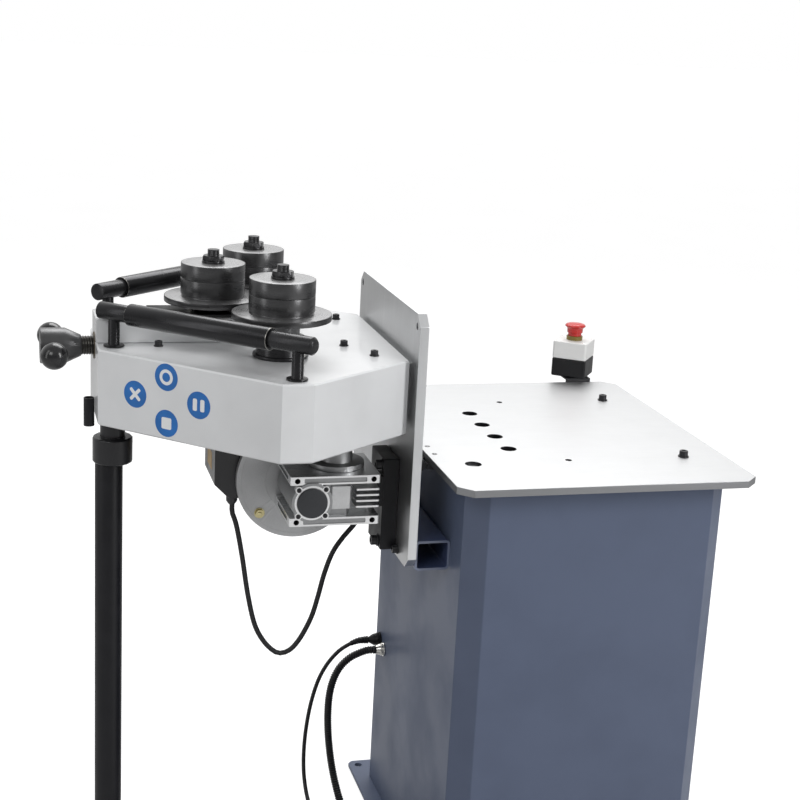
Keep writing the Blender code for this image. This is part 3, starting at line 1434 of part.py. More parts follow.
def roll_shaft(name, at, bottom, parent):
    """A roll's shaft, with the washer and nut that clamp the roll on top."""
    washer_low = ROLL_TOP + TOUCH_GAP
    nut_low = washer_low + WASHER_THICKNESS
    nut_top = nut_low + ROLL_NUT_HEIGHT
    top = ROLL_TOP + STUD_HEIGHT
    profile = [
        (0, bottom),
        (SHAFT_RADIUS - SHAFT_EDGE, bottom),
        (SHAFT_RADIUS, bottom + SHAFT_EDGE),
        (SHAFT_RADIUS, washer_low),
        (WASHER_RADIUS, washer_low),
        (WASHER_RADIUS, nut_low),
        (STUD_RADIUS, nut_low),
        (STUD_RADIUS, top - SHAFT_EDGE),
        (STUD_RADIUS - SHAFT_EDGE, top),
        (0, top),
    ]
    shaft = turned(name, profile, at)
    join(shaft, hexagon("nut", ROLL_NUT_RADIUS, nut_low - JOIN_OVERLAP, nut_top, at))
    finished(shaft, "black_oxide", parent)


def roll(name, at, hub_profile, parent):
    """A forming roll with its groove, its seat ring and its flange."""
    inner = SHAFT_RADIUS + RUNNING_GAP
    groove = FLANGE_TOP + ROLL_GROOVE_UP
    half = ROLL_GROOVE_WIDTH / 2
    seat = FLANGE_TOP + ROLL_SEAT_HEIGHT
    profile = [(inner, hub_profile[0][1])] + hub_profile
    profile += [
        (ROLL_FLANGE_RADIUS, FLANGE_BOTTOM),
        (ROLL_FLANGE_RADIUS, FLANGE_TOP),
        (ROLL_RADIUS - ROLL_SEAT_DEPTH, FLANGE_TOP),
        (ROLL_RADIUS - ROLL_SEAT_DEPTH, seat),
        (ROLL_RADIUS, seat),
        (ROLL_RADIUS, groove - half),
        (ROLL_RADIUS - ROLL_GROOVE_DEPTH, groove),
        (ROLL_RADIUS, groove + half),
        (ROLL_RADIUS, ROLL_TOP - ROLL_EDGE),
        (ROLL_RADIUS - ROLL_EDGE, ROLL_TOP),
        (inner, ROLL_TOP),
    ]
    finished(turned(name, profile, at, steps=FINE_STEPS), "black_oxide", parent)


def gear_outline(teeth, tooth_angle):
    """A gear's outline, with one tooth's middle at this angle."""
    pitch_radius = teeth * GEAR_MODULE / 2
    root = pitch_radius - DEDENDUM_SHARE * GEAR_MODULE
    tip = pitch_radius + GEAR_MODULE
    half_pitch = (math.pi * GEAR_MODULE / 2 - GEAR_BACKLASH) / 2 / pitch_radius
    slope = math.tan(PRESSURE_ANGLE)
    half_root = half_pitch + DEDENDUM_SHARE * GEAR_MODULE * slope / pitch_radius
    half_tip = half_pitch - GEAR_MODULE * slope / pitch_radius
    flank = [(root, half_root), (tip, half_tip)]
    points = []
    for i in range(teeth):
        middle = tooth_angle + math.tau * i / teeth
        for radius, half in flank:
            points.append((radius, middle - half))
        for radius, half in reversed(flank):
            points.append((radius, middle + half))
    return [(radius * math.cos(angle), radius * math.sin(angle)) for radius, angle in points]


def meshing_tooth(driver_teeth, driver_tooth, driven_teeth, bearing):
    """A tooth angle of the driven gear whose gap faces the driver's tooth along the bearing."""
    offset = (driver_tooth - bearing) * driver_teeth / driven_teeth
    gap = bearing + math.pi - offset
    return gap + math.pi / driven_teeth


def gear(name, teeth, tooth_angle, at, bore_radius):
    wheel = extruded(name, gear_outline(teeth, tooth_angle), GEAR_BOTTOM, GEAR_TOP)
    wheel.location = at
    if bore_radius:
        top = GEAR_TOP + GEAR_HUB_HEIGHT
        join(wheel, rod("hub", GEAR_HUB_RADIUS, GEAR_TOP - JOIN_OVERLAP, top, at))
        bore(wheel, bore_radius, GEAR_BOTTOM - CUT_OVERRUN, top + CUT_OVERRUN, at)
    return wheel


def gear_train(bodies):
    """The front wheel drives the rear one through the idler, and the pinion drives the front one."""
    front = (DRIVE_X, -DRIVE_Y, 0)
    rear = (DRIVE_X, DRIVE_Y, 0)
    clamped = SHAFT_RADIUS + TOUCH_GAP
    turning = IDLER_PIN_RADIUS + RUNNING_GAP
    up = math.pi / 2
    idler_tooth = meshing_tooth(DRIVE_TEETH, FRONT_TOOTH_ANGLE, IDLER_TEETH, up)
    rear_tooth = meshing_tooth(IDLER_TEETH, idler_tooth, DRIVE_TEETH, up)
    pinion_tooth = meshing_tooth(DRIVE_TEETH, FRONT_TOOTH_ANGLE, PINION_TEETH, PINION_BEARING)
    wheel = gear("drive_gear_front", DRIVE_TEETH, FRONT_TOOTH_ANGLE, front, clamped)
    finished(wheel, "ground_steel", bodies["front"])
    wheel = gear("drive_gear_rear", DRIVE_TEETH, rear_tooth, rear, clamped)
    finished(wheel, "ground_steel", bodies["rear"])
    idler = gear("idler_gear", IDLER_TEETH, idler_tooth, (DRIVE_X, 0, 0), turning)
    finished(idler, "ground_steel", bodies["idler"])
    at = (PINION_X, PINION_Y, 0)
    pinion = gear("pinion", PINION_TEETH, pinion_tooth, at, 0)
    top = GEAR_TOP + JOIN_OVERLAP
    join(pinion, rod("shaft", PINION_SHAFT_RADIUS, top - PINION_SHAFT_LENGTH, top, at))
    finished(pinion, "ground_steel", bodies["pinion"])


# Support rails


def rail_ends(side, up):
    """Where a rail's two posts meet its middle line, at one side of the head."""
    back = Vector((PLATE_LEFT - RAIL_BACK_REACH, side * RAIL_BACK_HALF_WIDTH, up))
    front = Vector((PLATE_LEFT - RAIL_FRONT_REACH, side * RAIL_FRONT_HALF_WIDTH, up))
    return back, front


def support_rail(name, side, up, parent):
    """Two posts and the bar on them, turned down in the middle where the sleeve runs."""
    back, front = rail_ends(side, up)
    direction = (front - back).normalized()
    end = (front - back).length + RAIL_FRONT_OVERHANG
    sleeve_end = SLEEVE_START + SLEEVE_LENGTH
    profile = [
        (0, -RAIL_BACK_OVERHANG),
        (RAIL_RADIUS - RAIL_EDGE, -RAIL_BACK_OVERHANG),
        (RAIL_RADIUS, -RAIL_BACK_OVERHANG + RAIL_EDGE),
        (RAIL_RADIUS, SLEEVE_START - RUNNING_GAP),
        (SPINDLE_RADIUS, SLEEVE_START - RUNNING_GAP),
        (SPINDLE_RADIUS, sleeve_end + RUNNING_GAP),
        (RAIL_RADIUS, sleeve_end + RUNNING_GAP),
        (RAIL_RADIUS, end - 2 * RAIL_EDGE),
        (RAIL_RADIUS - 2 * RAIL_EDGE, end),
        (0, end),
    ]
    rail = turned(name, profile, back, direction)
    low = HEAD_TOP + TOUCH_GAP
    for foot in (back, front):
        at = (foot.x, foot.y, 0)
        foot_top = low + POST_FOOT_HEIGHT
        post = [
            (0, low),
            (POST_FOOT_RADIUS, low),
            (POST_FOOT_RADIUS, foot_top),
            (POST_RADIUS, foot_top),
            (POST_RADIUS, up),
            (0, up),
        ]
        join(rail, turned("post", post, at, steps=SMALL_STEPS))
    finished(rail, "black_oxide", parent)


def support_sleeve(name, side, up, parent):
    back, front = rail_ends(side, up)
    inner = SPINDLE_RADIUS + RUNNING_GAP
    end = SLEEVE_START + SLEEVE_LENGTH
    profile = [
        (inner, SLEEVE_START),
        (SLEEVE_RADIUS, SLEEVE_START),
        (SLEEVE_RADIUS, end),
        (inner, end),
    ]
    sleeve = turned(name, profile, back, (front - back).normalized())
    finished(sleeve, "black_oxide", parent)


# Leg and key tube


def leg(parent):
    """The collar under the nose, and the leg that it clamps off centre."""
    collar_x = NOSE_X + COLLAR_FROM_NOSE
    leg_x = collar_x - LEG_FROM_COLLAR
    top = HEAD_BOTTOM - COLLAR_BELOW_HEAD
    bottom = top - COLLAR_HEIGHT
    head = HEAD_BOTTOM - TOUCH_GAP
    profile = [
        (0, bottom),
        (COLLAR_RADIUS - COLLAR_EDGE, bottom),
        (COLLAR_RADIUS, bottom + COLLAR_EDGE),
        (COLLAR_RADIUS, top - COLLAR_EDGE),
        (COLLAR_RADIUS - COLLAR_EDGE, top),
        (NECK_RADIUS, top),
        (NECK_RADIUS, head),
        (0, head),
    ]
    collar = turned("leg_collar", profile, (collar_x, 0, 0))
    bore(collar, LEG_RADIUS + TOUCH_GAP, bottom - CUT_OVERRUN, bottom + LEG_GRIP, (leg_x, 0, 0))
    half = COLLAR_SLIT / 2
    slit = block(
        "slit",
        (collar_x + LEG_RADIUS / 2, collar_x + COLLAR_RADIUS + CUT_OVERRUN),
        (-half, half),
        (bottom - CUT_OVERRUN, bottom + LEG_GRIP),
    )
    cut(collar, slit)
    finished(collar, "black_paint", parent)
    profile = [
        (0, 0),
        (FOOT_RADIUS, 0),
        (FOOT_RADIUS, FOOT_THICKNESS),
        (LEG_RADIUS, FOOT_THICKNESS),
        (LEG_RADIUS, bottom + LEG_GRIP - TOUCH_GAP),
        (0, bottom + LEG_GRIP - TOUCH_GAP),
    ]
    finished(turned("leg_tube", profile, (leg_x, 0, 0)), "black_paint", parent)


def key_holder(parent):
    """An open tube on the nose that keeps the hexagon key."""
    top = HEAD_BOTTOM + KEY_TUBE_LENGTH - KEY_TUBE_BELOW_HEAD
    bottom = top - KEY_TUBE_LENGTH
    inner = KEY_TUBE_RADIUS - KEY_TUBE_WALL
    profile = [
        (0, bottom),
        (KEY_TUBE_RADIUS, bottom),
        (KEY_TUBE_RADIUS, top),
        (inner, top),
        (inner, bottom + KEY_TUBE_WALL),
        (0, bottom + KEY_TUBE_WALL),
    ]
    at = (NOSE_X - TOUCH_GAP - KEY_TUBE_RADIUS, -KEY_TUBE_FORWARD, 0)
    finished(turned("key_holder", profile, at, steps=SMALL_STEPS), "black_paint", parent)


# Gearbox and motor


def gearbox_bracket(parent):
    """The bar on the plate's left face, with a tongue that meets the gearbox."""
    right = PLATE_LEFT - TOUCH_GAP
    left = right - BRACKET_THICKNESS
    top = TABLE_HEIGHT - BRACKET_BELOW_TABLE
    y = (-BRACKET_FRONT_REACH, -BRACKET_FRONT_REACH + BRACKET_WIDTH)
    bracket = block(
        "gearbox_bracket", (left, right), y, (top - BRACKET_HEIGHT, top), BRACKET_EDGE
    )
    gearbox_right = WORM_X + GEARBOX_RIGHT_OF_WORM
    middle = WORM_Z
    tongue = block(
        "tongue",
        (gearbox_right + TOUCH_GAP, left + JOIN_OVERLAP),
        (PINION_Y - TONGUE_WIDTH / 2, PINION_Y + TONGUE_WIDTH / 2),
        (middle - TONGUE_HEIGHT / 2, middle + TONGUE_HEIGHT / 2),
    )
    join(bracket, tongue)
    finished(bracket, "black_paint", parent)


def gearbox_housing(parent):
    """A worm gearbox: two mounting slabs, the core between them and the worm's tube across."""
    left = WORM_X - GEARBOX_LEFT_OF_WORM
    right = WORM_X + GEARBOX_RIGHT_OF_WORM
    front = GEARBOX_FRONT
    back = GEARBOX_BACK - JOIN_OVERLAP
    core = block(
        "gearbox_housing",
        (left + CORE_INSET, right - CORE_INSET),
        (front + CORE_INSET, back - CORE_INSET),
        (GEARBOX_BOTTOM + SLAB_HEIGHT / 2, GEARBOX_TOP - SLAB_HEIGHT / 2),
    )
    outline = rectangle(left, right, front, back, CORE_EDGE)
    join(
        core,
        extruded("low_slab", outline, GEARBOX_BOTTOM, GEARBOX_BOTTOM + SLAB_HEIGHT),
        extruded("high_slab", outline, GEARBOX_TOP - SLAB_HEIGHT, GEARBOX_TOP),
    )
    tube_ends = (front - WORM_TUBE_PROUD, GEARBOX_BACK)
    join(core, rod("worm_tube", WORM_TUBE_RADIUS, *tube_ends, (WORM_X, 0, WORM_Z), BACK))
    fin_x = (OUTPUT_X, right - JOIN_OVERLAP)
    fin_y = (front + FIN_FROM_END / 2, back - FIN_FROM_END / 2)
    for i in range(FINS):
        middle = WORM_Z + JOIN_OVERLAP + (i - (FINS - 1) / 2) * FIN_PITCH
        half = FIN_THICKNESS / 2
        join(core, block("fin", fin_x, fin_y, (middle - half, middle + half)))
    for x in (left + LUG_HOLE_INSET, right - LUG_HOLE_INSET):
        for z in (GEARBOX_BOTTOM + SLAB_HEIGHT / 2, GEARBOX_TOP - SLAB_HEIGHT / 2):
            hole = (front - CUT_OVERRUN, back + CUT_OVERRUN)
            bore(core, LUG_HOLE_RADIUS, *hole, (x, 0, z), BACK, SMALL_STEPS)
    low = GEAR_TOP + JOIN_OVERLAP - PINION_SHAFT_LENGTH - RUNNING_GAP
    radius = PINION_SHAFT_RADIUS + RUNNING_GAP
    bore(core, radius, low, GEARBOX_TOP + CUT_OVERRUN, (PINION_X, PINION_Y, 0))
    finished(core, "cast_aluminium", parent)


def gearbox_cap(parent):
    front = GEARBOX_FRONT - WORM_TUBE_PROUD - TOUCH_GAP
    ends = (front - CAP_THICKNESS, front)
    cap = rod("gearbox_cap", CAP_RADIUS, *ends, (WORM_X, 0, WORM_Z), BACK, edge=JOIN_OVERLAP)
    finished(cap, "black_plastic", parent)


def gearbox_outlet(parent):
    """The neck that carries the gearbox under the head, round the output shaft."""
    inner = PINION_SHAFT_RADIUS + 3 * RUNNING_GAP
    low = GEARBOX_TOP + TOUCH_GAP
    high = HEAD_BOTTOM - TOUCH_GAP
    profile = [
        (inner, low),
        (OUTLET_FLANGE_RADIUS, low),
        (OUTLET_FLANGE_RADIUS, low + OUTLET_FLANGE_HEIGHT),
        (OUTLET_RADIUS, low + OUTLET_FLANGE_HEIGHT),
        (OUTLET_RADIUS, high - OUTLET_CAP_HEIGHT),
        (OUTLET_CAP_RADIUS, high - OUTLET_CAP_HEIGHT),
        (OUTLET_CAP_RADIUS, high),
        (inner, high),
    ]
    neck = turned("gearbox_outlet", profile, (PINION_X, PINION_Y, 0))
    finished(neck, "cast_aluminium", parent)


def motor_body(parent):
    """The finned motor with its round mounting flange."""
    tip = MOTOR_CORE_RADIUS + MOTOR_FIN_HEIGHT
    points = []
    step = math.tau / MOTOR_FINS
    for i in range(MOTOR_FINS):
        middle = (i + 1 / 2) * step
        half = step * MOTOR_FIN_SHARE / 2
        points += arc(MOTOR_CORE_RADIUS, middle - step / 2 + half / 4, middle - half, 1)
        points += arc(tip, middle - half, middle + half, 1)
        points += arc(MOTOR_CORE_RADIUS, middle + half, middle + step / 2 - half / 4, 1)
    outline = [(WORM_X + x, WORM_Z + z) for x, z in points]
    end = FLANGE_BACK + MOTOR_BODY_LENGTH
    body = extruded("motor_body", outline, FLANGE_BACK - FLANGE_THICKNESS / 2, end, "Y")
    flange_front = GEARBOX_BACK + TOUCH_GAP
    at = (WORM_X, 0, WORM_Z)
    flange = rod(
        "flange", FLANGE_RADIUS, flange_front, FLANGE_BACK, at, BACK, FINE_STEPS, FLANGE_EDGE
    )
    join(body, flange)
    for i in range(4):
        angle = math.pi / 4 + i * math.pi / 2
        x = WORM_X + FLANGE_BOLT_CIRCLE_RADIUS * math.cos(angle)
        z = WORM_Z + FLANGE_BOLT_CIRCLE_RADIUS * math.sin(angle)
        through = (flange_front - CUT_OVERRUN, FLANGE_BACK + CUT_OVERRUN)
        bore(body, FLANGE_HOLE_RADIUS, *through, (x, 0, z), BACK, SMALL_STEPS)
    finished(body, "motor_paint", parent)


def motor_fan_cover(parent):
    """The cover at the motor's far end, with slots in a ring round its middle."""
    start = FLANGE_BACK + MOTOR_BODY_LENGTH + TOUCH_GAP
    end = start + FAN_COVER_LENGTH
    rounded = FAN_COVER_ROUND
    corner = arc(rounded, 0, math.pi / 2, 4, (FAN_COVER_RADIUS - rounded, end - rounded))
    profile = [(0, start), (FAN_COVER_RADIUS, start)] + corner + [(0, end)]
    at = (WORM_X, 0, WORM_Z)
    cover = turned("motor_fan_cover", profile, at, BACK, FINE_STEPS)
    half = FAN_SLOT_WIDTH / 2
    for i in range(FAN_SLOTS):
        slot = block(
            "slot",
            (FAN_SLOT_INNER, FAN_SLOT_OUTER),
            (end - FAN_SLOT_DEPTH, end + CUT_OVERRUN),
            (-half, half),
        )
        slot.location = at
        slot.rotation_euler = (0, i * math.tau / FAN_SLOTS, 0)
        cut(cover, slot)
    finished(cover, "motor_paint", parent)


def terminal_box(parent):
    """The box of the motor's terminals, on a saddle at the motor's left, with a gland below."""
    motor_left = WORM_X - MOTOR_CORE_RADIUS - MOTOR_FIN_HEIGHT
    right = motor_left - TOUCH_GAP
    left = right - TERMINAL_WIDTH
    low = WORM_Z - TERMINAL_BELOW_WORM
    high = WORM_Z + TERMINAL_ABOVE_WORM
    start = FLANGE_BACK + TERMINAL_FROM_FLANGE
    end = start + TERMINAL_LENGTH
    outline = [
        (left + TERMINAL_CHAMFER, low),
        (right, low),
        (right, high - TERMINAL_EDGE),
        (right - TERMINAL_EDGE, high),
        (left + TERMINAL_EDGE, high),
        (left, high - TERMINAL_EDGE),
        (left, low + TERMINAL_CHAMFER),
    ]
    box = extruded("terminal_box", outline, start, end, "Y", TERMINAL_EDGE / 2)
    saddle = block(
        "saddle",
        (right - JOIN_OVERLAP, right + SADDLE_REACH),
        (start + SADDLE_MARGIN, end - SADDLE_MARGIN),
        (WORM_Z - SADDLE_HALF_HEIGHT, WORM_Z + SADDLE_HALF_HEIGHT),
    )
    motor_radius = MOTOR_CORE_RADIUS + MOTOR_FIN_HEIGHT + TOUCH_GAP
    motor = rod("motor", motor_radius, start, end, (WORM_X, 0, WORM_Z), BACK, 2 * FINE_STEPS)
    join(box, cut(saddle, motor))
    at = (left + TERMINAL_GLAND_IN, start + TERMINAL_GLAND_BACK, 0)
    tip = MOTOR_CABLE_DIAMETER / 2 + JOIN_OVERLAP
    gland = turned(
        "gland",
        [
            (0, low - TERMINAL_GLAND_LENGTH),
            (tip, low - TERMINAL_GLAND_LENGTH),
            (GLAND_NUT_RADIUS, low - TERMINAL_GLAND_LENGTH / 2),
            (GLAND_NUT_RADIUS, low + JOIN_OVERLAP),
            (0, low + JOIN_OVERLAP),
        ],
        at,
        steps=SMALL_STEPS,
    )
    join(box, gland)
    finished(box, "black_plastic", parent)
    return Vector((at[0], at[1], low - TERMINAL_GLAND_LENGTH - TOUCH_GAP))


def motor_cables(start, head):
    """The motor's cable: hanging in a bow on the head, then through the plate to the cabinet."""
    diameter = MOTOR_CABLE_DIAMETER
    at_plate = Vector((PLATE_RIGHT, MOTOR_CABLE_Y, MOTOR_CABLE_HEIGHT))
    points = [start - UP * diameter] + [Vector(point) for point in MOTOR_CABLE_ROUTE]
    points.append(at_plate + LEFT * PLATE_THICKNESS)
    even = [start] + smooth_route(points, SPACING_DIAMETERS_SHARE * diameter) + [at_plate]
    print("motor_cable_head is", round(route_length(even), 3), "m long")
    finished(tube("motor_cable_head", even, diameter), "rubber", head)
    radius = diameter / 2
    wall_gland(
        "motor_cable_gland",
        MOTOR_CABLE_Y,
        MOTOR_CABLE_HEIGHT,
        MOTOR_GLAND_LENGTH,
        radius,
        "black_plastic",
    )
    leaving = at_plate + RIGHT * TOUCH_GAP
    end_x = CABINET_LEFT - 2 * TOUCH_GAP - MOTOR_GLAND_LENGTH
    end = Vector((end_x, MOTOR_CABLE_Y, MOTOR_CABLE_HEIGHT))
    steps = round((end - leaving).length / diameter)
    even = [leaving.lerp(end, i / steps) for i in range(steps + 1)]
    print("motor_cable_stand is", round(route_length(even), 3), "m long")
    finished(tube("motor_cable_stand", even, diameter), "rubber")


# The whole machine


def stand():
    cabinet_base()
    cabinet_shell()
    cabinet_rear_panel()
    table_plate()
    tilt_stop_tube()
    table_hinge("table_hinge_front", -HINGE_SPREAD)
    table_hinge("table_hinge_rear", HINGE_SPREAD)
    estop_bracket()
    button_empty = joint_empty("estop_press", (STATION_X, STATION_Y, STATION_TOP), None, -UP)
    estop_station(button_empty)
    mains_lead()
    foot, turn = pedal_place(*pedal_conduit())
    pedal_base(foot, turn)
    forward = Vector((math.cos(turn), math.sin(turn), 0))
    pivot = foot + forward * PIVOT_FROM_END + UP * (PEDAL_HEIGHT + PIVOT_UP)
    axis = UP.cross(forward)
    tread_empty = joint_empty("tread_pivot", pivot, None, axis)
    print("tread pivot", [round(value, 5) for value in pivot], "axis", [round(v, 5) for v in axis])
    pedal_tread(foot, turn, tread_empty)


def head():
    """Everything that tilts with the plate."""
    tilt = joint_empty("head_tilt", (HINGE_X, 0, HINGE_Z), None, BACK)
    head_plate(tilt)
    plate_hinge("plate_hinge_front", -HINGE_SPREAD, tilt)
    plate_hinge("plate_hinge_rear", HINGE_SPREAD, tilt)
    head_housing(tilt)
    housing_floor(tilt)
    slide_guide(tilt)
    screw_nut(tilt)
    leg(tilt)
    key_holder(tilt)
    gearbox_bracket(tilt)
    gearbox_housing(tilt)
    gearbox_cap(tilt)
    gearbox_outlet(tilt)
    motor_body(tilt)
    motor_fan_cover(tilt)
    motor_cables(terminal_box(tilt), tilt)
    front_up = HEAD_TOP + RAIL_UP
    rails = (("front", -1, front_up), ("rear", 1, front_up + REAR_RAIL_RAISE))
    bodies = {}
    for word, side, up in rails:
        back, front = rail_ends(side, up)
        direction = (front - back).normalized()
        support_rail("support_rail_" + word, side, up, tilt)
        spin = joint_empty("sleeve_axis_" + word, back, tilt, direction)
        support_sleeve("support_sleeve_" + word, side, up, spin)
        at = (DRIVE_X, side * DRIVE_Y, 0)
        bearing_boss("bearing_boss_" + word, at[1], tilt)
        bodies[word] = joint_empty("roll_axis_" + word, at, tilt)
        roll_shaft("drive_shaft_" + word, at, HEAD_BOTTOM + TOUCH_GAP, bodies[word])
        hub = [(DRIVE_HUB_RADIUS, HEAD_TOP + BOSS_HEIGHT + RUNNING_GAP)]
        hub.append((DRIVE_HUB_RADIUS, FLANGE_BOTTOM))
        roll("roll_" + word, at, hub, bodies[word])
    bodies["idler"] = joint_empty("idler_axis", (DRIVE_X, 0, 0), tilt)
    bodies["pinion"] = joint_empty("pinion_axis", (PINION_X, PINION_Y, 0), tilt)
    gear_train(bodies)
    slide = joint_empty("slide_way", (PRESS_X, 0, 0), tilt, LEFT)
    slide_block(slide)
    at = (PRESS_X, 0, 0)
    roll_shaft("press_shaft", at, HEAD_TOP - SLIDE_DEPTH, slide)
    spin = joint_empty("press_roll_axis", at, slide)
    hub = [(PRESS_HUB_RADIUS, COVER_TOP + RUNNING_GAP), (PRESS_HUB_TOP_RADIUS, FLANGE_BOTTOM)]
    roll("press_roll", at, hub, spin)
    screw = joint_empty("screw_axis", (SLIDE_LEFT, 0, SCREW_Z), slide, LEFT)
    lead_screw(screw)
    screw_hub(screw)
    handle_bar(screw)


def main():
    for obj in list(bpy.data.objects):
        bpy.data.objects.remove(obj, do_unlink=True)
    stand()
    head()


main()
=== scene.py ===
"""The looks of a ring roller on its cabinet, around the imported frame. Metres, +Z up."""

import bmesh
import bpy
import json
import math
from mathutils import Matrix, Vector


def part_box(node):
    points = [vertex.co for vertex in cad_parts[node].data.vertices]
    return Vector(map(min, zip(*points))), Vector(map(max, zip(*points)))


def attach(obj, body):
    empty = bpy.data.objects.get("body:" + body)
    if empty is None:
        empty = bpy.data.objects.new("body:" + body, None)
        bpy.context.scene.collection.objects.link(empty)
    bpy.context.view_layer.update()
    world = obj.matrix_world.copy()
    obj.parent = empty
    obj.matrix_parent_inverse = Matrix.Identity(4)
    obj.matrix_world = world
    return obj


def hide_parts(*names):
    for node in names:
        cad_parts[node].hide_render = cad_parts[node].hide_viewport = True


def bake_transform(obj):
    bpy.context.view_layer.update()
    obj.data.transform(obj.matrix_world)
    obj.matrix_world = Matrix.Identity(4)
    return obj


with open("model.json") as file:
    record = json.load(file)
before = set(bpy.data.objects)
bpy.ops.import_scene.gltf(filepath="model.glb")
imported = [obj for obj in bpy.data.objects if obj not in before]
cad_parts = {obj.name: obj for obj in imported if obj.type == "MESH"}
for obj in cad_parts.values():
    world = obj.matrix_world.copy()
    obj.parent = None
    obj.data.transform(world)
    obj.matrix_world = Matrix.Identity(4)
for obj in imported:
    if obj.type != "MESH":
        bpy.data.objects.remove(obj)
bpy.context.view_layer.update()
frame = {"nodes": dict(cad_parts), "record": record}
nodes = frame["nodes"]
bodies = frame["record"]["behaviour"]["bodies"]
carrier = {node: body for body, held in bodies.items() for node in held}

# Sizes that many pieces share
MM = 0.001
WELD = 1e-6
SEAM_WELD = 5 * WELD
EDGE = 0.4 * MM
UP = Vector((0, 0, 1))
RIGHT = Vector((1, 0, 0))
LEFT = Vector((-1, 0, 0))
BACK = Vector((0, 1, 0))
FRONT = Vector((0, -1, 0))

# Steps round a large turned piece, a middling one and a small one
ROUND = 96
FINE = 48
SMALL = 24

# Where shading breaks, which corners stay unrounded, and how flat a flat face is
SMOOTH_ANGLE = math.radians(32)
BEND_ANGLE = math.radians(50)
NEARLY_STRAIGHT = math.radians(150)
FLAT_ANGLE = math.radians(0.3)
CORNER_SHARE = 0.45
FLAT_WEIGHT = 100
FLAT = 0.98
PAST = 5 * MM


def low(node):
    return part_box(node)[0]


def high(node):
    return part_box(node)[1]


def middle(node):
    return (low(node) + high(node)) / 2


def foot(node):
    """The middle of a node's underside."""
    centre = middle(node)
    return Vector((centre.x, centre.y, low(node).z))


# Camera, at the photograph's viewing angle
CAMERA_PLACE = Vector((-0.9503, -2.4507, 1.5157))
CAMERA_LENS = 70.68
CAMERA_PITCH = math.radians(14.93)
CAMERA_YAW = math.radians(15.62)
CAMERA_ROLL = math.radians(3.0)
CAMERA_REACH = 100


def link(name, data):
    obj = bpy.data.objects.new(name, data)
    bpy.context.scene.collection.objects.link(obj)
    return obj


def place_camera():
    data = bpy.data.cameras.new("camera")
    data.lens = CAMERA_LENS
    data.clip_end = CAMERA_REACH
    camera = link("camera", data)
    level = math.cos(CAMERA_PITCH)
    forward = Vector(
        (math.sin(CAMERA_YAW) * level, math.cos(CAMERA_YAW) * level, -math.sin(CAMERA_PITCH))
    )
    right = Vector((math.cos(CAMERA_YAW), -math.sin(CAMERA_YAW), 0))
    up = right.cross(forward)
    across = right * math.cos(CAMERA_ROLL) + up * math.sin(CAMERA_ROLL)
    upright = up * math.cos(CAMERA_ROLL) - right * math.sin(CAMERA_ROLL)
    turn = Matrix((across, upright, -forward)).transposed().to_4x4()
    camera.matrix_world = Matrix.Translation(CAMERA_PLACE) @ turn
    bpy.context.scene.camera = camera


place_camera()


# Meshes


def new_piece(name, bm, angle=SMOOTH_ANGLE):
    """A piece at the origin with this mesh, smooth where it curves gently."""
    bmesh.ops.remove_doubles(bm, verts=bm.verts, dist=WELD)
    bmesh.ops.recalc_face_normals(bm, faces=bm.faces)
    mesh = bpy.data.meshes.new(name)
    bm.to_mesh(mesh)
    bm.free()
    mesh.shade_smooth()
    mesh.set_sharp_from_angle(angle=angle)
    return link(name, mesh)


def added_to(obj, bm):
    """Write a grown mesh back into its piece."""
    bm.normal_update()
    bm.to_mesh(obj.data)
    bm.free()
    obj.data.set_sharp_from_angle(angle=SMOOTH_ANGLE)


def mesh_of(data):
    bm = bmesh.new()
    bm.from_mesh(data)
    return bm


def mm(*pairs):
    """Pairs given in millimetres, in metres."""
    return [(x * MM, y * MM) for x, y in pairs]


def aimed(place, direction=UP, turn=0):
    """The matrix that puts a shape drawn along +Z at a place, aimed in a direction."""
    aim = UP.rotation_difference(Vector(direction)).to_matrix().to_4x4()
    return Matrix.Translation(Vector(place)) @ aim @ Matrix.Rotation(turn, 4, "Z")


def circle(radius, steps, centre=(0, 0), start=0.0, end=math.tau):
    """Points round a circle, or along an arc of it."""
    whole = abs(end - start - math.tau) < WELD
    count = steps if whole else steps + 1
    angles = [start + (end - start) * i / steps for i in range(count)]
    return [(centre[0] + radius * math.cos(a), centre[1] + radius * math.sin(a)) for a in angles]


def hexagon(radius, angle):
    """How far a hexagon with this corner radius reaches at an angle."""
    face_angle = (angle % (math.pi / 3)) - math.pi / 6
    return radius * math.cos(math.pi / 6) / math.cos(face_angle)


def ring_into(bm, points, matrix):
    return [bm.verts.new(matrix @ Vector(point)) for point in points]


def skin(bm, rings):
    """Faces from each ring of corners to the next."""
    faces = []
    for lower, upper in zip(rings, rings[1:]):
        for i in range(len(lower)):
            j = (i + 1) % len(lower)
            faces.append(bm.faces.new((lower[i], lower[j], upper[j], upper[i])))
    return faces


def spin_into(bm, profile, matrix, steps=ROUND, material=0):
    """A profile of radii and heights, spun round the matrix's own Z axis."""
    rings = []
    for radius, height in profile:
        points = [(x, y, height) for x, y in circle(radius, steps)]
        rings.append(ring_into(bm, points[:1] if radius < WELD else points, matrix))
    for lower, upper in zip(rings, rings[1:]):
        for i in range(steps):
            edge = (i, (i + 1) % steps)
            corners = [lower[k % len(lower)] for k in edge]
            corners += [upper[k % len(upper)] for k in reversed(edge)]
            bm.faces.new(list(dict.fromkeys(corners))).material_index = material


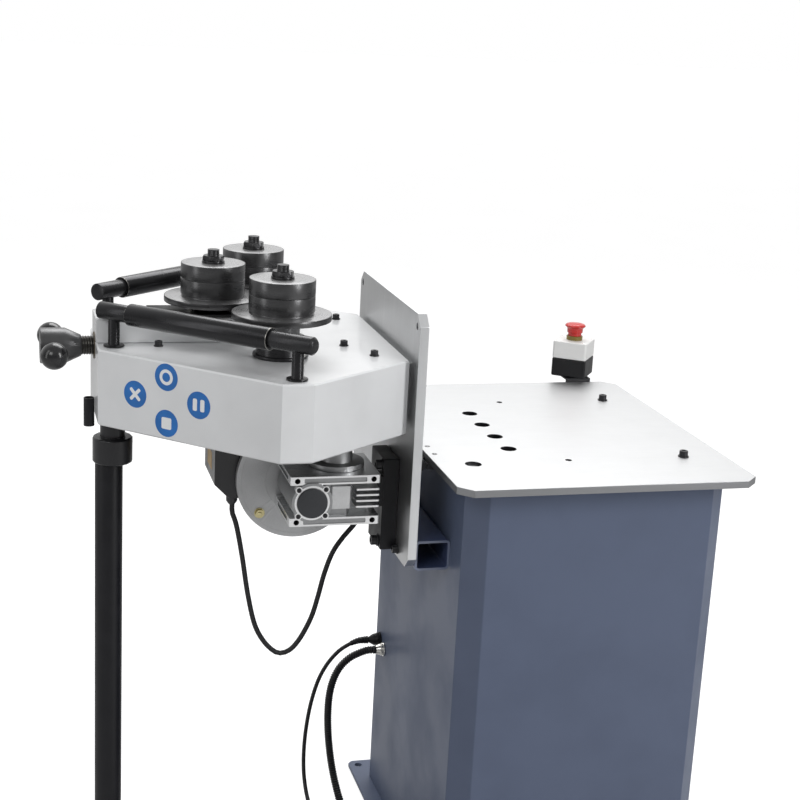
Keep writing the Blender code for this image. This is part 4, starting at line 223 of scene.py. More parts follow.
def eased(profile, edge, closed=False):
    """The profile with each of its corners rounded by three points."""
    points = [Vector(point) for point in profile]
    result = []
    count = len(points)
    for i, point in enumerate(points):
        if not closed and i in (0, count - 1):
            result.append(point)
            continue
        before = points[i - 1] - point
        after = points[(i + 1) % count] - point
        reach = min(edge, before.length * CORNER_SHARE, after.length * CORNER_SHARE)
        if reach < WELD or before.angle(after, math.pi) > NEARLY_STRAIGHT:
            result.append(point)
            continue
        start = point + before.normalized() * reach
        end = point + after.normalized() * reach
        result += [start, (start + end) / 4 + point / 2, end]
    return [tuple(point) for point in result]


def turned(name, profile, place, direction=UP, edge=EDGE, steps=ROUND, ring=False):
    """A turned piece with rounded corners. A ring's profile closes on itself."""
    bm = bmesh.new()
    shape = eased(profile, edge, ring)
    if ring:
        shape = shape + shape[:1]
    spin_into(bm, shape, aimed(place, direction), steps)
    return new_piece(name, bm)


def prism_into(bm, outline, matrix, bottom, top, material=0):
    """An outline in the matrix's X and Y, extruded between two heights of its Z."""
    rings = []
    for height in (bottom, top):
        rings.append(ring_into(bm, [(x, y, height) for x, y in outline], matrix))
    for face in [bm.faces.new(ring) for ring in rings] + skin(bm, rings):
        face.material_index = material


def prism(name, outline, bottom, top, matrix=Matrix()):
    bm = bmesh.new()
    prism_into(bm, outline, matrix, bottom, top)
    return new_piece(name, bm)


def cylinder(radius, place, direction, start, end, steps=FINE):
    bm = bmesh.new()
    profile = [(0, start), (radius, start), (radius, end), (0, end)]
    spin_into(bm, profile, aimed(place, direction), steps)
    return new_piece("cylinder", bm)


def rounded_rectangle(width, height, radius, steps=6, centre=(0, 0)):
    """A counter-clockwise rectangle with round corners."""
    points = []
    signs = ((1, 1), (-1, 1), (-1, -1), (1, -1))
    for quarter, (sx, sy) in enumerate(signs):
        corner = (
            centre[0] + sx * (width / 2 - radius),
            centre[1] + sy * (height / 2 - radius),
        )
        start = quarter * math.pi / 2
        points += circle(radius, steps, corner, start, start + math.pi / 2)
    return points


def cut_corners(x_low, x_high, y_low, y_high, cut):
    """A counter-clockwise rectangle with its corners cut at 45 degrees."""
    return [
        (x_low + cut, y_low),
        (x_high - cut, y_low),
        (x_high, y_low + cut),
        (x_high, y_high - cut),
        (x_high - cut, y_high),
        (x_low + cut, y_high),
        (x_low, y_high - cut),
        (x_low, y_low + cut),
    ]


# The matrices that lay an outline's X and Y in other planes
YZ_PLANE = Matrix(((0, 0, 1, 0), (1, 0, 0, 0), (0, 1, 0, 0), (0, 0, 0, 1)))
XZ_PLANE = Matrix(((1, 0, 0, 0), (0, 0, 1, 0), (0, 1, 0, 0), (0, 0, 0, 1)))


def settled(obj):
    """The piece with its modifiers applied."""
    graph = bpy.context.evaluated_depsgraph_get()
    mesh = bpy.data.meshes.new_from_object(obj.evaluated_get(graph))
    obj.modifiers.clear()
    obj.data = mesh
    return obj


def shaded(obj):
    """Shade the piece smooth, with its sharp edges sharp and its large flat faces flat."""
    obj.data.shade_smooth()
    obj.data.set_sharp_from_angle(angle=SMOOTH_ANGLE)
    weigh = obj.modifiers.new("flat_first", "WEIGHTED_NORMAL")
    weigh.keep_sharp = True
    weigh.weight = FLAT_WEIGHT
    return settled(obj)


def eased_edges(obj, width, segments=2, angle=30):
    """Round the piece's sharp edges."""
    bevel = obj.modifiers.new("edges", "BEVEL")
    bevel.width = width
    bevel.segments = segments
    bevel.limit_method = "ANGLE"
    bevel.angle_limit = math.radians(angle)
    return shaded(settled(obj))


def drilled(obj, *cutters, overlapping=False):
    """Cut these shapes out of the piece, which may be made of shapes that overlap."""
    for cutter in cutters:
        cut = obj.modifiers.new("cut", "BOOLEAN")
        cut.operation = "DIFFERENCE"
        cut.solver = "EXACT"
        cut.use_self = overlapping
        cut.object = cutter
        settled(obj)
        bpy.data.objects.remove(cutter, do_unlink=True)
    bm = mesh_of(obj.data)
    bmesh.ops.remove_doubles(bm, verts=bm.verts, dist=WELD)
    bm.to_mesh(obj.data)
    bm.free()
    return shaded(obj)


def dressed(obj, *materials):
    """Give a piece its materials, in the order of its faces' numbers."""
    for material in materials:
        obj.data.materials.append(material)
    return obj


def stands_for(obj, node, *materials):
    """Dress a piece that takes a CAD node's place, on the body that carries the node."""
    dressed(obj, *materials)
    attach(obj, carrier[node])
    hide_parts(node)
    return obj


def extra(obj, body, slot, *materials):
    """Dress a piece that takes no node's place."""
    dressed(obj, *materials)
    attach(obj, body)
    return obj


def copied(node, name, material, edge=0.0, segments=2, angle=30):
    """A CAD node's own shape, with its triangles merged into whole faces and its edges rounded."""
    bm = mesh_of(nodes[node].data)
    bmesh.ops.remove_doubles(bm, verts=bm.verts, dist=SEAM_WELD)
    bmesh.ops.dissolve_limit(
        bm, angle_limit=FLAT_ANGLE, verts=bm.verts, edges=bm.edges, delimit={"NORMAL"}
    )
    obj = new_piece(name, bm)
    if edge:
        eased_edges(obj, edge, segments, angle)
    else:
        shaded(obj)
    return stands_for(obj, node, material)


# Shader maths


class Value:
    """A socket of a material's nodes, with the operators that expressions use."""

    def __init__(self, look, socket):
        self.look = look
        self.socket = socket

    def maths(self, operation, *others):
        inputs = {i: value for i, value in enumerate((self, *others))}
        return self.look.node("ShaderNodeMath", {"operation": operation}, inputs)

    def __add__(self, other):
        return self.maths("ADD", other)

    def __mul__(self, other):
        return self.maths("MULTIPLY", other)

    def __sub__(self, other):
        return self.maths("SUBTRACT", other)

    def __rsub__(self, other):
        return self.look.node("ShaderNodeMath", {"operation": "SUBTRACT"}, {0: other, 1: self})

    __radd__ = __add__
    __rmul__ = __mul__

    def ranged(self, start, end):
        """The value's share of the way from start to end, held at 0 and 1."""
        sockets = {"Value": self, "From Min": start, "From Max": end}
        return self.look.node("ShaderNodeMapRange", {}, sockets)


COAT_ROUGHNESS = 0.06
PLAIN_SPECULAR = 0.5


class Look:
    """A material on the Principled shader, and the nodes that feed it."""

    def __init__(self, name, colour, roughness, metallic=0.0, coat=0.0, specular=PLAIN_SPECULAR):
        self.material = bpy.data.materials.new(name)
        self.material.use_nodes = True
        self.tree = self.material.node_tree
        self.shader = self.tree.nodes["Principled BSDF"]
        self.feed("Base Color", (*colour, 1))
        self.feed("Roughness", roughness)
        self.feed("Metallic", metallic)
        self.feed("Coat Weight", coat)
        self.feed("Coat Roughness", COAT_ROUGHNESS)
        self.feed("Specular IOR Level", specular)
        self.place = None

    def node(self, kind, settings, inputs, output=0):
        """Add a node: its settings first, then its sockets' values or links."""
        made = self.tree.nodes.new(kind)
        for key, value in settings.items():
            setattr(made, key, value)
        for key, value in inputs.items():
            self.fill(made.inputs[key], value)
        return Value(self, made.outputs[output])

    def vector(self, operation, inputs, output=0):
        return self.node("ShaderNodeVectorMath", {"operation": operation}, inputs, output)

    def fill(self, socket, value):
        if isinstance(value, Value):
            self.tree.links.new(value.socket, socket)
        else:
            socket.default_value = value

    def feed(self, name, value):
        self.fill(self.shader.inputs[name], value)

    def where(self, stretch=(1, 1, 1)):
        """Object coordinates, stretched."""
        if self.place is None:
            self.place = self.node("ShaderNodeTexCoord", {}, {}, "Object")
        return self.node("ShaderNodeMapping", {}, {"Vector": self.place, "Scale": stretch})

    def noise(self, scale, detail=2.0, stretch=(1, 1, 1)):
        """Soft noise between 0 and 1, with this many grains to a metre."""
        sockets = {"Vector": self.where(stretch), "Scale": scale, "Detail": detail}
        return self.node("ShaderNodeTexNoise", {}, sockets)

    def line_noise(self, along, scale, detail):
        """Noise that changes along one value alone."""
        sockets = {"W": along, "Scale": scale, "Detail": detail}
        return self.node("ShaderNodeTexNoise", {"noise_dimensions": "1D"}, sockets)

    def cells(self, scale):
        return self.node("ShaderNodeTexVoronoi", {}, {"Vector": self.where(), "Scale": scale})

    def tint(self, share, first, second):
        """Between two colours, by a share."""
        sockets = {0: share}
        for index, colour in ((6, first), (7, second)):
            sockets[index] = colour if isinstance(colour, Value) else (*colour, 1)
        return self.node("ShaderNodeMix", {"data_type": "RGBA"}, sockets, 2)

    def relief(self, height, depth, under=None):
        """Bump from a height, with its depth in metres."""
        sockets = {"Height": height, "Distance": depth, "Strength": 1.0}
        if under is not None:
            sockets["Normal"] = under
        return self.node("ShaderNodeBump", {}, sockets)


def scaled(colour, share):
    return tuple(channel * share for channel in colour)


# Finishes: their marks as shares of the plain colour, and how deep they are
DUSTY = 0.93
SCRATCHED = 0.72
STAINED = 0.88
TOOL_MARKED = 0.65
POLISHED = 1.5
PORE_DARK = 0.62
CAST_DARK = 0.8
WORN_LIGHT = 0.35
SCRATCH_LENGTH = 0.02
PAINT_GRAIN = 0.015 * MM
SCRATCH_DEPTH = 0.012 * MM
TOOL_MARK_DEPTH = 0.004 * MM


def gloss_paint(name, colour, roughness=0.28, peel=0.048 * MM, coat=0.6, specular=PLAIN_SPECULAR):
    """Sprayed paint: faint orange peel, and a little dust that dulls its gloss."""
    look = Look(name, colour, roughness, coat=coat, specular=specular)
    dust = look.noise(9, 5).ranged(0.42, 0.68)
    look.feed("Base Color", look.tint(dust, colour, scaled(colour, DUSTY)))
    look.feed("Roughness", dust * 0.12 + roughness)
    waves = look.noise(260, 1)
    fine = look.relief(look.noise(1500, 1), PAINT_GRAIN)
    look.feed("Normal", look.relief(waves, peel, fine))
    return look.material


def ground_metal(name, colour, roughness=0.3, lay="Z", streak=1.0):
    """Ground steel: long fine scratches along one axis, and a faint stain."""
    look = Look(name, colour, roughness, metallic=1.0)
    stretch = tuple(SCRATCH_LENGTH if axis == lay else 1 for axis in "XYZ")
    lines = look.noise(700, 3, stretch)
    coarse = look.noise(90, 4, stretch)
    stain = look.noise(7, 4).ranged(0.4, 0.7)
    shade = (lines * 0.5 + coarse * 0.5).ranged(0.3, 0.7)
    marked = look.tint(shade * (0.35 * streak), colour, scaled(colour, SCRATCHED))
    look.feed("Base Color", look.tint(stain * 0.5, marked, scaled(colour, STAINED)))
    look.feed("Roughness", lines * 0.16 + stain * 0.06 + (roughness - 0.1))
    look.feed("Normal", look.relief(lines, SCRATCH_DEPTH * streak))
    return look.material


def turned_metal(name, place, direction, colour, roughness, rings, metallic):
    """Turned metal: fine tool marks that run round its own axis."""
    look = Look(name, colour, roughness, metallic=metallic)
    away = look.vector("SUBTRACT", {0: look.where(), 1: tuple(place)})
    along = look.vector("DOT_PRODUCT", {0: away, 1: tuple(direction)}, "Value")
    size = look.vector("LENGTH", {0: away}, "Value")
    radius = (size * size - along * along).maths("MAXIMUM", 0.0).maths("SQRT")
    marks = look.line_noise(along + radius, rings, 2.0)
    bands = look.line_noise(along + radius, rings / 9, 1.0)
    stain = look.noise(35, 4).ranged(0.45, 0.75)
    dark = look.tint(bands.ranged(0.35, 0.65) * 0.16, colour, scaled(colour, TOOL_MARKED))
    look.feed("Base Color", look.tint(stain * 0.16, dark, scaled(colour, POLISHED)))
    look.feed("Roughness", marks * 0.12 + stain * 0.08 + (roughness - 0.08))
    look.feed("Normal", look.relief(marks, TOOL_MARK_DEPTH))
    return look.material


def cast_metal(name, colour, roughness, metallic, grain):
    """Die-cast metal: a pebbled skin with soft dark pores."""
    look = Look(name, colour, roughness, metallic=metallic)
    skin = look.noise(900, 4)
    pores = look.cells(700).ranged(0.0, 0.35)
    stain = look.noise(30, 5).ranged(0.4, 0.7)
    pocked = look.tint(pores, scaled(colour, PORE_DARK), colour)
    look.feed("Base Color", look.tint(stain * 0.5, pocked, scaled(colour, CAST_DARK)))
    look.feed("Roughness", skin * 0.2 + (roughness - 0.1))
    look.feed("Normal", look.relief(skin + pores * 0.4, grain * MM))
    return look.material


def moulded(name, colour, roughness, grain=0.03, scale=1400, metallic=0.0, specular=PLAIN_SPECULAR):
    """Moulded plastic, rubber or satin paint: a fine even grain, with dull and shiny places."""
    look = Look(name, colour, roughness, metallic=metallic, specular=specular)
    skin = look.noise(scale, 2)
    worn = look.noise(25, 4).ranged(0.45, 0.7)
    lighter = scaled(colour, 1 + WORN_LIGHT * (1 - colour[0]) ** 2)
    look.feed("Base Color", look.tint(worn * 0.6, colour, lighter))
    look.feed("Roughness", worn * 0.12 + skin * 0.1 + (roughness - 0.08))
    look.feed("Normal", look.relief(skin, grain * MM))
    return look.material


head_paint = gloss_paint("head_paint", (0.76, 0.77, 0.78), 0.30)
cabinet_paint = gloss_paint(
    "cabinet_paint", (0.102, 0.127, 0.196), 0.38, peel=0.0096 * MM, coat=0.0, specular=0.35
)
# A darker copy of the cabinet's blue for the stop tube: painted shade
tube_paint = gloss_paint("tube_paint", (0.066, 0.089, 0.180), 0.30, coat=0.2)
table_steel = ground_metal("table_steel", (0.56, 0.564, 0.568), 0.46, "X", 0.35)
plate_steel = ground_metal("plate_steel", (0.58, 0.585, 0.59), 0.36, "Z", 0.8)
# A lighter copy of the plate's steel for its edge faces: a painted highlight
plate_edge_highlight = ground_metal("plate_edge_highlight", (0.80, 0.81, 0.82), 0.34, "Z", 0.6)
black_metal = moulded("black_metal", (0.018, 0.018, 0.020), 0.34, metallic=0.2)
black_paint = moulded("black_paint", (0.008, 0.008, 0.010), 0.40, specular=0.3)
black_plastic = moulded("black_plastic", (0.008, 0.008, 0.009), 0.42, specular=0.3)
rubber = moulded("rubber", (0.011, 0.011, 0.012), 0.46, specular=0.4)
white_plastic = moulded("white_plastic", (0.80, 0.80, 0.79), 0.38)
red_plastic = moulded("red_plastic", (0.56, 0.030, 0.026), 0.20)
yellow_plastic = moulded("yellow_plastic", (0.20, 0.15, 0.030), 0.36)
cast_aluminium = cast_metal("cast_aluminium", (0.36, 0.365, 0.37), 0.42, 0.95, 0.1)
pad_casting = cast_metal("pad_casting", (0.66, 0.665, 0.67), 0.42, 0.95, 0.08)
milled_aluminium = ground_metal("milled_aluminium", (0.93, 0.935, 0.94), 0.3, "X", 0.4)
motor_casting = cast_metal("motor_casting", (0.53, 0.535, 0.54), 0.5, 0.6, 0.02)
nickel = moulded("nickel", (0.68, 0.67, 0.64), 0.22, metallic=1.0)
yellow_zinc = moulded("yellow_zinc", (0.62, 0.55, 0.30), 0.3, metallic=1.0)
bronze = moulded("bronze", (0.105, 0.085, 0.060), 0.42, metallic=1.0)
grease_steel = moulded("grease_steel", (0.050, 0.048, 0.044), 0.26, metallic=0.9)
# A darker copy of the table's steel for its side faces: painted shade
table_edge_shade = ground_metal("table_edge_shade", (0.32, 0.325, 0.335), 0.42, "X", 0.7)
# Near-black steel for the walls of the table's holes: painted shade in the holes
hole_shade = ground_metal("hole_shade", (0.045, 0.045, 0.048), 0.5, "Z", 0.7)
# A lighter copy of the tube's blue for its end faces: a painted highlight
tube_end_highlight = gloss_paint("tube_end_highlight", (0.17, 0.20, 0.29), 0.3)
gloss_black = moulded("gloss_black", (0.012, 0.012, 0.013), 0.16, 0.01)
cap_plastic = moulded("cap_plastic", (0.028, 0.030, 0.034), 0.5)
terminal_plastic = moulded("terminal_plastic", (0.022, 0.022, 0.024), 0.32)
pedal_paint = moulded("pedal_paint", (0.020, 0.020, 0.022), 0.4, 0.05, 900)
gear_steel = ground_metal("gear_steel", (0.34, 0.33, 0.31), 0.34, "Z")
disc_blue = moulded("disc_blue", (0.010, 0.135, 0.44), 0.36, 0.01)
disc_white = moulded("disc_white", (0.84, 0.85, 0.86), 0.35, 0.01)
label_tan = moulded("label_tan", (0.56, 0.36, 0.13), 0.5, 0.01)

# Turned steels: colour, roughness, tool marks to a metre, and how metallic they are
SIDE_OXIDE = ((0.105, 0.105, 0.107), 0.30, 900, 0.85)
# The same oxide, lighter, for the rolls' up-facing faces: a painted reflection
LIT_TOP_OXIDE = ((0.34, 0.34, 0.343), 0.30, 900, 0.85)
NUT_OXIDE = ((0.055, 0.055, 0.057), 0.30, 900, 0.85)
BOSS_OXIDE = ((0.05, 0.05, 0.052), 0.30, 900, 0.8)
RAIL_OXIDE = ((0.032, 0.032, 0.034), 0.30, 420, 0.7)
SLEEVE_OXIDE = ((0.030, 0.030, 0.032), 0.24, 420, 0.75)
HUB_OXIDE = ((0.10, 0.10, 0.102), 0.34, 700, 0.9)

FLOOR_GLOW = 0.72
MIRRORED_FLOOR = 0.25


def floor_look():
    """A pale floor with faint cloudiness, which the camera sees as near white."""
    look = Look("floor_white", (0.5, 0.5, 0.5), 0.75)
    cloud = look.noise(2.5, 3).ranged(0.3, 0.7)
    look.feed("Base Color", look.tint(cloud, (0.47, 0.47, 0.47), (0.50, 0.50, 0.50)))
    straight = look.node("ShaderNodeLightPath", {}, {}, "Is Camera Ray")
    mirrored = look.node("ShaderNodeLightPath", {}, {}, "Is Glossy Ray")
    through = look.node("ShaderNodeLightPath", {}, {}, "Is Transmission Ray")
    seen = straight + (mirrored + through) * MIRRORED_FLOOR
    look.feed("Emission Color", look.tint(seen, (0, 0, 0), (1, 1, 1)))
    look.feed("Emission Strength", FLOOR_GLOW)
    return look.material


floor_white = floor_look()


# Cords: their routes repeat the CAD's points
FLOOR_GAP = 0.3 * MM
COIL_GAP = 0.8 * MM
COIL_LAYERS = 2
COIL_EXIT_TURN_SHARE = 0.25
COIL_STEPS = 48
COIL_LEAD_IN = 2.2
ROUTE_STEPS = 24
CORD_SIDES = 14
CABLE_SIDES = 16
MAINS_DIAMETER = 7.5 * MM
MAINS_COIL = ((-0.420, 0.045), 0.0605, 4)
MAINS_TAIL = 0.080
MAINS_ROUTE = [
    (-0.2643, 0.2125, 0.3080),
    (-0.2820, 0.2125, 0.3010),
    (-0.3010, 0.2128, 0.2880),
    (-0.3210, 0.2130, 0.2640),
    (-0.3370, 0.2130, 0.2320),
    (-0.3490, 0.2120, 0.1900),
    (-0.3570, 0.2090, 0.1450),
    (-0.3620, 0.2020, 0.1000),
    (-0.3640, 0.1890, 0.0600),
    (-0.3630, 0.1680, 0.0290),
    (-0.3610, 0.1380, 0.0110),
    (-0.3597, 0.1050, 0.0050),
]
CONDUIT_DIAMETER = 15 * MM
CONDUIT_GROOVE = 1.7 * MM
CONDUIT_RIB_PITCH = 4.4 * MM
CONDUIT_WAVE = (0, 0.35, 1, 0.35)
CONDUIT_INLET = 13.7 * MM
CONDUIT_COIL = ((-0.3905, -0.130), 0.0905, 1)
CONDUIT_TAIL = 0.095
CONDUIT_ROUTE = [
    (-0.2640, 0.1815, 0.2985),
    (-0.2850, 0.1815, 0.2890),
    (-0.3020, 0.1815, 0.2730),
    (-0.3140, 0.1810, 0.2510),
    (-0.3220, 0.1790, 0.2200),
    (-0.3250, 0.1740, 0.1800),
    (-0.3240, 0.1650, 0.1350),
    (-0.3200, 0.1500, 0.0900),
    (-0.3140, 0.1260, 0.0510),
    (-0.3080, 0.0940, 0.0240),
    (-0.3030, 0.0520, 0.0110),
    (-0.3005, 0.0050, 0.0081),
    (-0.3000, -0.0500, 0.0078),
]
MOTOR_CABLE_DIAMETER = 8.5 * MM
MOTOR_CABLE_ROUTE = [
    (-0.5487, -0.0240, 0.6590),
    (-0.5400, -0.0230, 0.6330),
    (-0.5290, -0.0220, 0.5770),
    (-0.5180, -0.0210, 0.5110),
    (-0.5050, -0.0200, 0.4560),
    (-0.4890, -0.0190, 0.4240),
    (-0.4710, -0.0180, 0.4040),
    (-0.4570, -0.0170, 0.3980),
    (-0.4400, -0.0160, 0.4040),
    (-0.4230, -0.0150, 0.4250),
    (-0.4060, -0.0140, 0.4600),
    (-0.3960, -0.0130, 0.4950),
    (-0.3860, -0.0120, 0.5370),
    (-0.3730, -0.0110, 0.5740),
    (-0.3560, -0.0100, 0.6000),
    (-0.3380, -0.0100, 0.6220),
    (-0.3240, -0.0100, 0.6450),
    (-0.3165, -0.0100, 0.6700),
    (-0.3140, -0.0100, 0.6950),
    (-0.3115, -0.0100, 0.7150),
    (-0.3055, -0.0100, 0.7290),
]
PLATE_CROSSING = (-0.010, 0.735)


def smooth_route(points, spacing):
    """Even points along a smooth curve through the route's own points."""
    route = [Vector(point) for point in points]
    route = [2 * route[0] - route[1]] + route + [2 * route[-1] - route[-2]]
    dense = []
    for before, start, end, after in zip(route, route[1:], route[2:], route[3:]):
        for i in range(ROUTE_STEPS):
            t = i / ROUTE_STEPS
            bend = (end - before) * t + (2 * before - 5 * start + 4 * end - after) * t**2
            bend += (3 * start - before - 3 * end + after) * t**3
            dense.append(start + bend / 2)
    dense.append(route[-2])
    return even_points(dense, spacing)


def even_points(dense, spacing):
    """Points at even distances along a path of many points."""
    lengths = [0]
    for first, second in zip(dense, dense[1:]):
        lengths.append(lengths[-1] + (second - first).length)
    count = max(2, round(lengths[-1] / spacing))
    even = []
    at = 0
    for i in range(count + 1):
        wanted = lengths[-1] * i / count
        while at < len(dense) - 2 and lengths[at + 1] < wanted:
            at += 1
        share = (wanted - lengths[at]) / max(lengths[at + 1] - lengths[at], WELD)
        even.append(dense[at].lerp(dense[at + 1], share))
    return even


def coil_points(coil, diameter, tail, tail_height):
    """Loops that spiral in on the floor, climb a layer, spiral out on top and run off in a tail."""
    centre, radius, turns = coil
    pitch = diameter + COIL_GAP
    total = COIL_LAYERS * turns + COIL_EXIT_TURN_SHARE
    points = []
    for i in range(round(total * COIL_STEPS) + 1):
        turn = i / COIL_STEPS
        wound = radius - pitch * (turn if turn < turns else COIL_LAYERS * turns - turn)
        climb = min(max((turn - turns) * 2 + 1 / 2, 0), 1)
        angle = -math.tau * turn
        x = centre[0] + wound * math.cos(angle)
        y = centre[1] + wound * math.sin(angle)
        points.append(Vector((x, y, diameter / 2 + FLOOR_GAP + pitch * climb)))
    heading = Vector((math.sin(angle), -math.cos(angle), 0))
    last = points[-1]
    steps = round(tail / diameter)
    for i in range(1, steps + 1):
        share = i / steps
        rise = min(share * 5 / 4, 1)
        rise = rise * rise * (3 - 2 * rise)
        point = last + heading * (tail * share)
        point.z = last.z + (tail_height - last.z) * rise
        points.append(point)
    return points


def swept(name, points, radii, sides=CABLE_SIDES):
    """A closed tube along points, with a radius at each."""
    bm = bmesh.new()
    side = None
    rings = []
    for i, point in enumerate(points):
        ahead = points[min(i + 1, len(points) - 1)] - points[max(i - 1, 0)]
        ahead.normalize()
        if side is None:
            side = ahead.orthogonal().normalized()
        side = (side - ahead * side.dot(ahead)).normalized()
        other = ahead.cross(side)
        ring = []
        for k in range(sides):
            angle = math.tau * k / sides
            out = side * math.cos(angle) + other * math.sin(angle)
            ring.append(bm.verts.new(point + out * radii[i]))
        rings.append(ring)
    skin(bm, rings)
    bm.faces.new(rings[0])
    bm.faces.new(rings[-1])
    return new_piece(name, bm, BEND_ANGLE)


def gland_tip(node):
    """Where a lead leaves its gland on the cabinet's left wall."""
    start = middle(node)
    start.x = low(node).x - FLOOR_GAP
    return start


def mains_cable():
    """The mains lead from its gland to its plug, with its unseen length coiled on the floor."""
    diameter = MAINS_DIAMETER
    start = gland_tip("mains_gland")
    turns = coil_points(MAINS_COIL, diameter, MAINS_TAIL, middle("mains_plug").z)
    free = [start + LEFT * diameter] + [Vector(p) for p in MAINS_ROUTE]
    free.append(turns[0] + BACK * diameter * COIL_LEAD_IN)
    path = [start] + smooth_route(free, diameter) + turns
    cable = swept("mains_cable", path, [diameter / 2] * len(path), CORD_SIDES)
    extra(cable, "stand", "lead_rubber", rubber)
    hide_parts("mains_lead", "mains_lead_coil")
    return cable, path


def pedal_hose():
    """The ribbed conduit from its gland to the foot pedal, with its unseen length coiled."""
    diameter = CONDUIT_DIAMETER
    start = gland_tip("conduit_gland")
    inlet = low("pedal_conduit_coil").z + CONDUIT_INLET
    turns = coil_points(CONDUIT_COIL, diameter, CONDUIT_TAIL, inlet)
    free = [start + LEFT * diameter] + [Vector(p) for p in CONDUIT_ROUTE]
    free.append(turns[0] + BACK * diameter * COIL_LEAD_IN)
    middle_line = [start] + smooth_route(free, diameter / 3) + turns
    count = len(CONDUIT_WAVE)
    path = even_points(middle_line, CONDUIT_RIB_PITCH / count)
    radii = []
    for i in range(len(path)):
        plain = i < count or i > len(path) - 1 - count
        groove = 0 if plain else CONDUIT_GROOVE * CONDUIT_WAVE[i % count]
        radii.append(diameter / 2 - groove)
    hose = swept("pedal_hose", path, radii, CORD_SIDES)
    extra(hose, "stand", "lead_rubber", rubber)
    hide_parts("pedal_conduit", "pedal_conduit_coil")
    return hose, path


def motor_cable():
    """The motor's cable, from its terminal box in a bow to the plate, and on into the cabinet."""
    diameter = MOTOR_CABLE_DIAMETER
    start = Vector(MOTOR_CABLE_ROUTE[0])
    start.z = low("terminal_box").z - FLOOR_GAP
    plate = Vector((low("head_plate").x, *PLATE_CROSSING))
    end = Vector((low("motor_cable_gland").x - FLOOR_GAP, *PLATE_CROSSING))
    route = [start - UP * diameter] + [Vector(p) for p in MOTOR_CABLE_ROUTE] + [plate]
    path = [start] + smooth_route(route, diameter)
    path += [plate.lerp(end, i / ROUTE_STEPS) for i in range(1, ROUTE_STEPS + 1)]
    cable = swept("motor_cable", path, [diameter / 2] * len(path))
    dressed(cable, rubber)
    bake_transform(cable)
    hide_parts("motor_cable_head", "motor_cable_stand")
    return cable, path


# The table and its holes
TABLE_CORNER = 22 * MM
TABLE_EDGE = 0.9 * MM
COLUMN_HOLES = [(-0.1053, y) for y in (-0.10755, -0.03585, 0.03585, 0.10755)]
COLUMN_HOLE_RADIUS = 13.5 * MM
COUNTERBORES = [(-0.190, -0.1834), (-0.190, 0.1834)]
COUNTERBORE_DEPTH = 7 * MM
BOLT_HOLE_RADIUS = 7.5 * MM
LOCK_HOLES = [(-0.0265, -0.178), (-0.0265, 0.178)]
LOCK_HOLE_RADIUS = 5.5 * MM
OUTER_SHARE = 0.9
STEEP = 0.7
# Numbers of the table's side faces and hole walls among its materials; both take darker steel as
# painted shade
SHADED_SIDE_FACES = 1
SHADED_HOLE_FACES = 2


def table_top():
    base, top = low("table_plate"), high("table_plate")
    outline = cut_corners(base.x, top.x, base.y, top.y, TABLE_CORNER)
    table = prism("table_top", outline, base.z, top.z)
    eased_edges(table, TABLE_EDGE, 3)
    holes = [(place, COLUMN_HOLE_RADIUS, base.z - PAST) for place in COLUMN_HOLES]
    holes += [(place, BOLT_HOLE_RADIUS, base.z - PAST) for place in COUNTERBORES]
    holes += [(place, LOCK_HOLE_RADIUS, base.z - PAST) for place in LOCK_HOLES]
    holes += [(place, COLUMN_HOLE_RADIUS, top.z - COUNTERBORE_DEPTH) for place in COUNTERBORES]
    cutters = [
        cylinder(radius, (x, y, 0), UP, bottom, top.z + PAST) for (x, y), radius, bottom in holes
    ]
    drilled(table, *cutters)
    # Side faces take the darker steel and hole walls the near-black one, both painted shade
    for polygon in table.data.polygons:
        if abs(polygon.normal.z) < STEEP:
            centre = polygon.center
            outer = max(abs(centre.x) / top.x, abs(centre.y) / top.y) > OUTER_SHARE
            polygon.material_index = SHADED_SIDE_FACES if outer else SHADED_HOLE_FACES
    stands_for(table, "table_plate", table_steel, table_edge_shade, hole_shade)


# The cabinet and the stop tube
FOLD_RADIUS = 2.2 * MM
TUBE_WALL = 4 * MM
TUBE_ROUND = 7 * MM


def cabinet():
    copied("cabinet_shell", "cabinet_body", cabinet_paint, FOLD_RADIUS, 3, 35)
    copied("cabinet_base", "cabinet_foot", cabinet_paint, 1 * MM)
    copied("cabinet_rear_panel", "back_panel", cabinet_paint, 0.8 * MM)


def stop_tube():
    """A square tube with round corners, open at both ends, in a darker copy of the cabinet's blue
    that paints shade, with painted highlights on its end faces.
    """
    base, top = low("tilt_stop_tube"), high("tilt_stop_tube")
    size = top - base
    centre = ((base.x + top.x) / 2, (base.z + top.z) / 2)
    bm = bmesh.new()
    walls = []
    for inset in (0, TUBE_WALL):
        width, height = size.x - 2 * inset, size.z - 2 * inset
        outline = rounded_rectangle(width, height, TUBE_ROUND - inset, 6, centre)
        ends = [[(x, z, y) for x, z in outline] for y in (base.y, top.y)]
        walls.append([ring_into(bm, end, XZ_PLANE) for end in ends])
    for wall in walls:
        skin(bm, wall)
    # The end faces of the tube's thin walls take the lighter blue: a painted highlight
    for end in zip(*walls):
        for face in skin(bm, end):
            face.material_index = 1
    stands_for(new_piece("stop_tube", bm), "tilt_stop_tube", tube_paint, tube_end_highlight)


# The tilting plate
PLATE_CORNER = 18 * MM
PLATE_EDGE = 1.2 * MM
PLATE_HIGHLIGHT_RIM = 0.8
PLATE_LOCKS = [(-0.178, 1.0035), (0.178, 1.0035)]


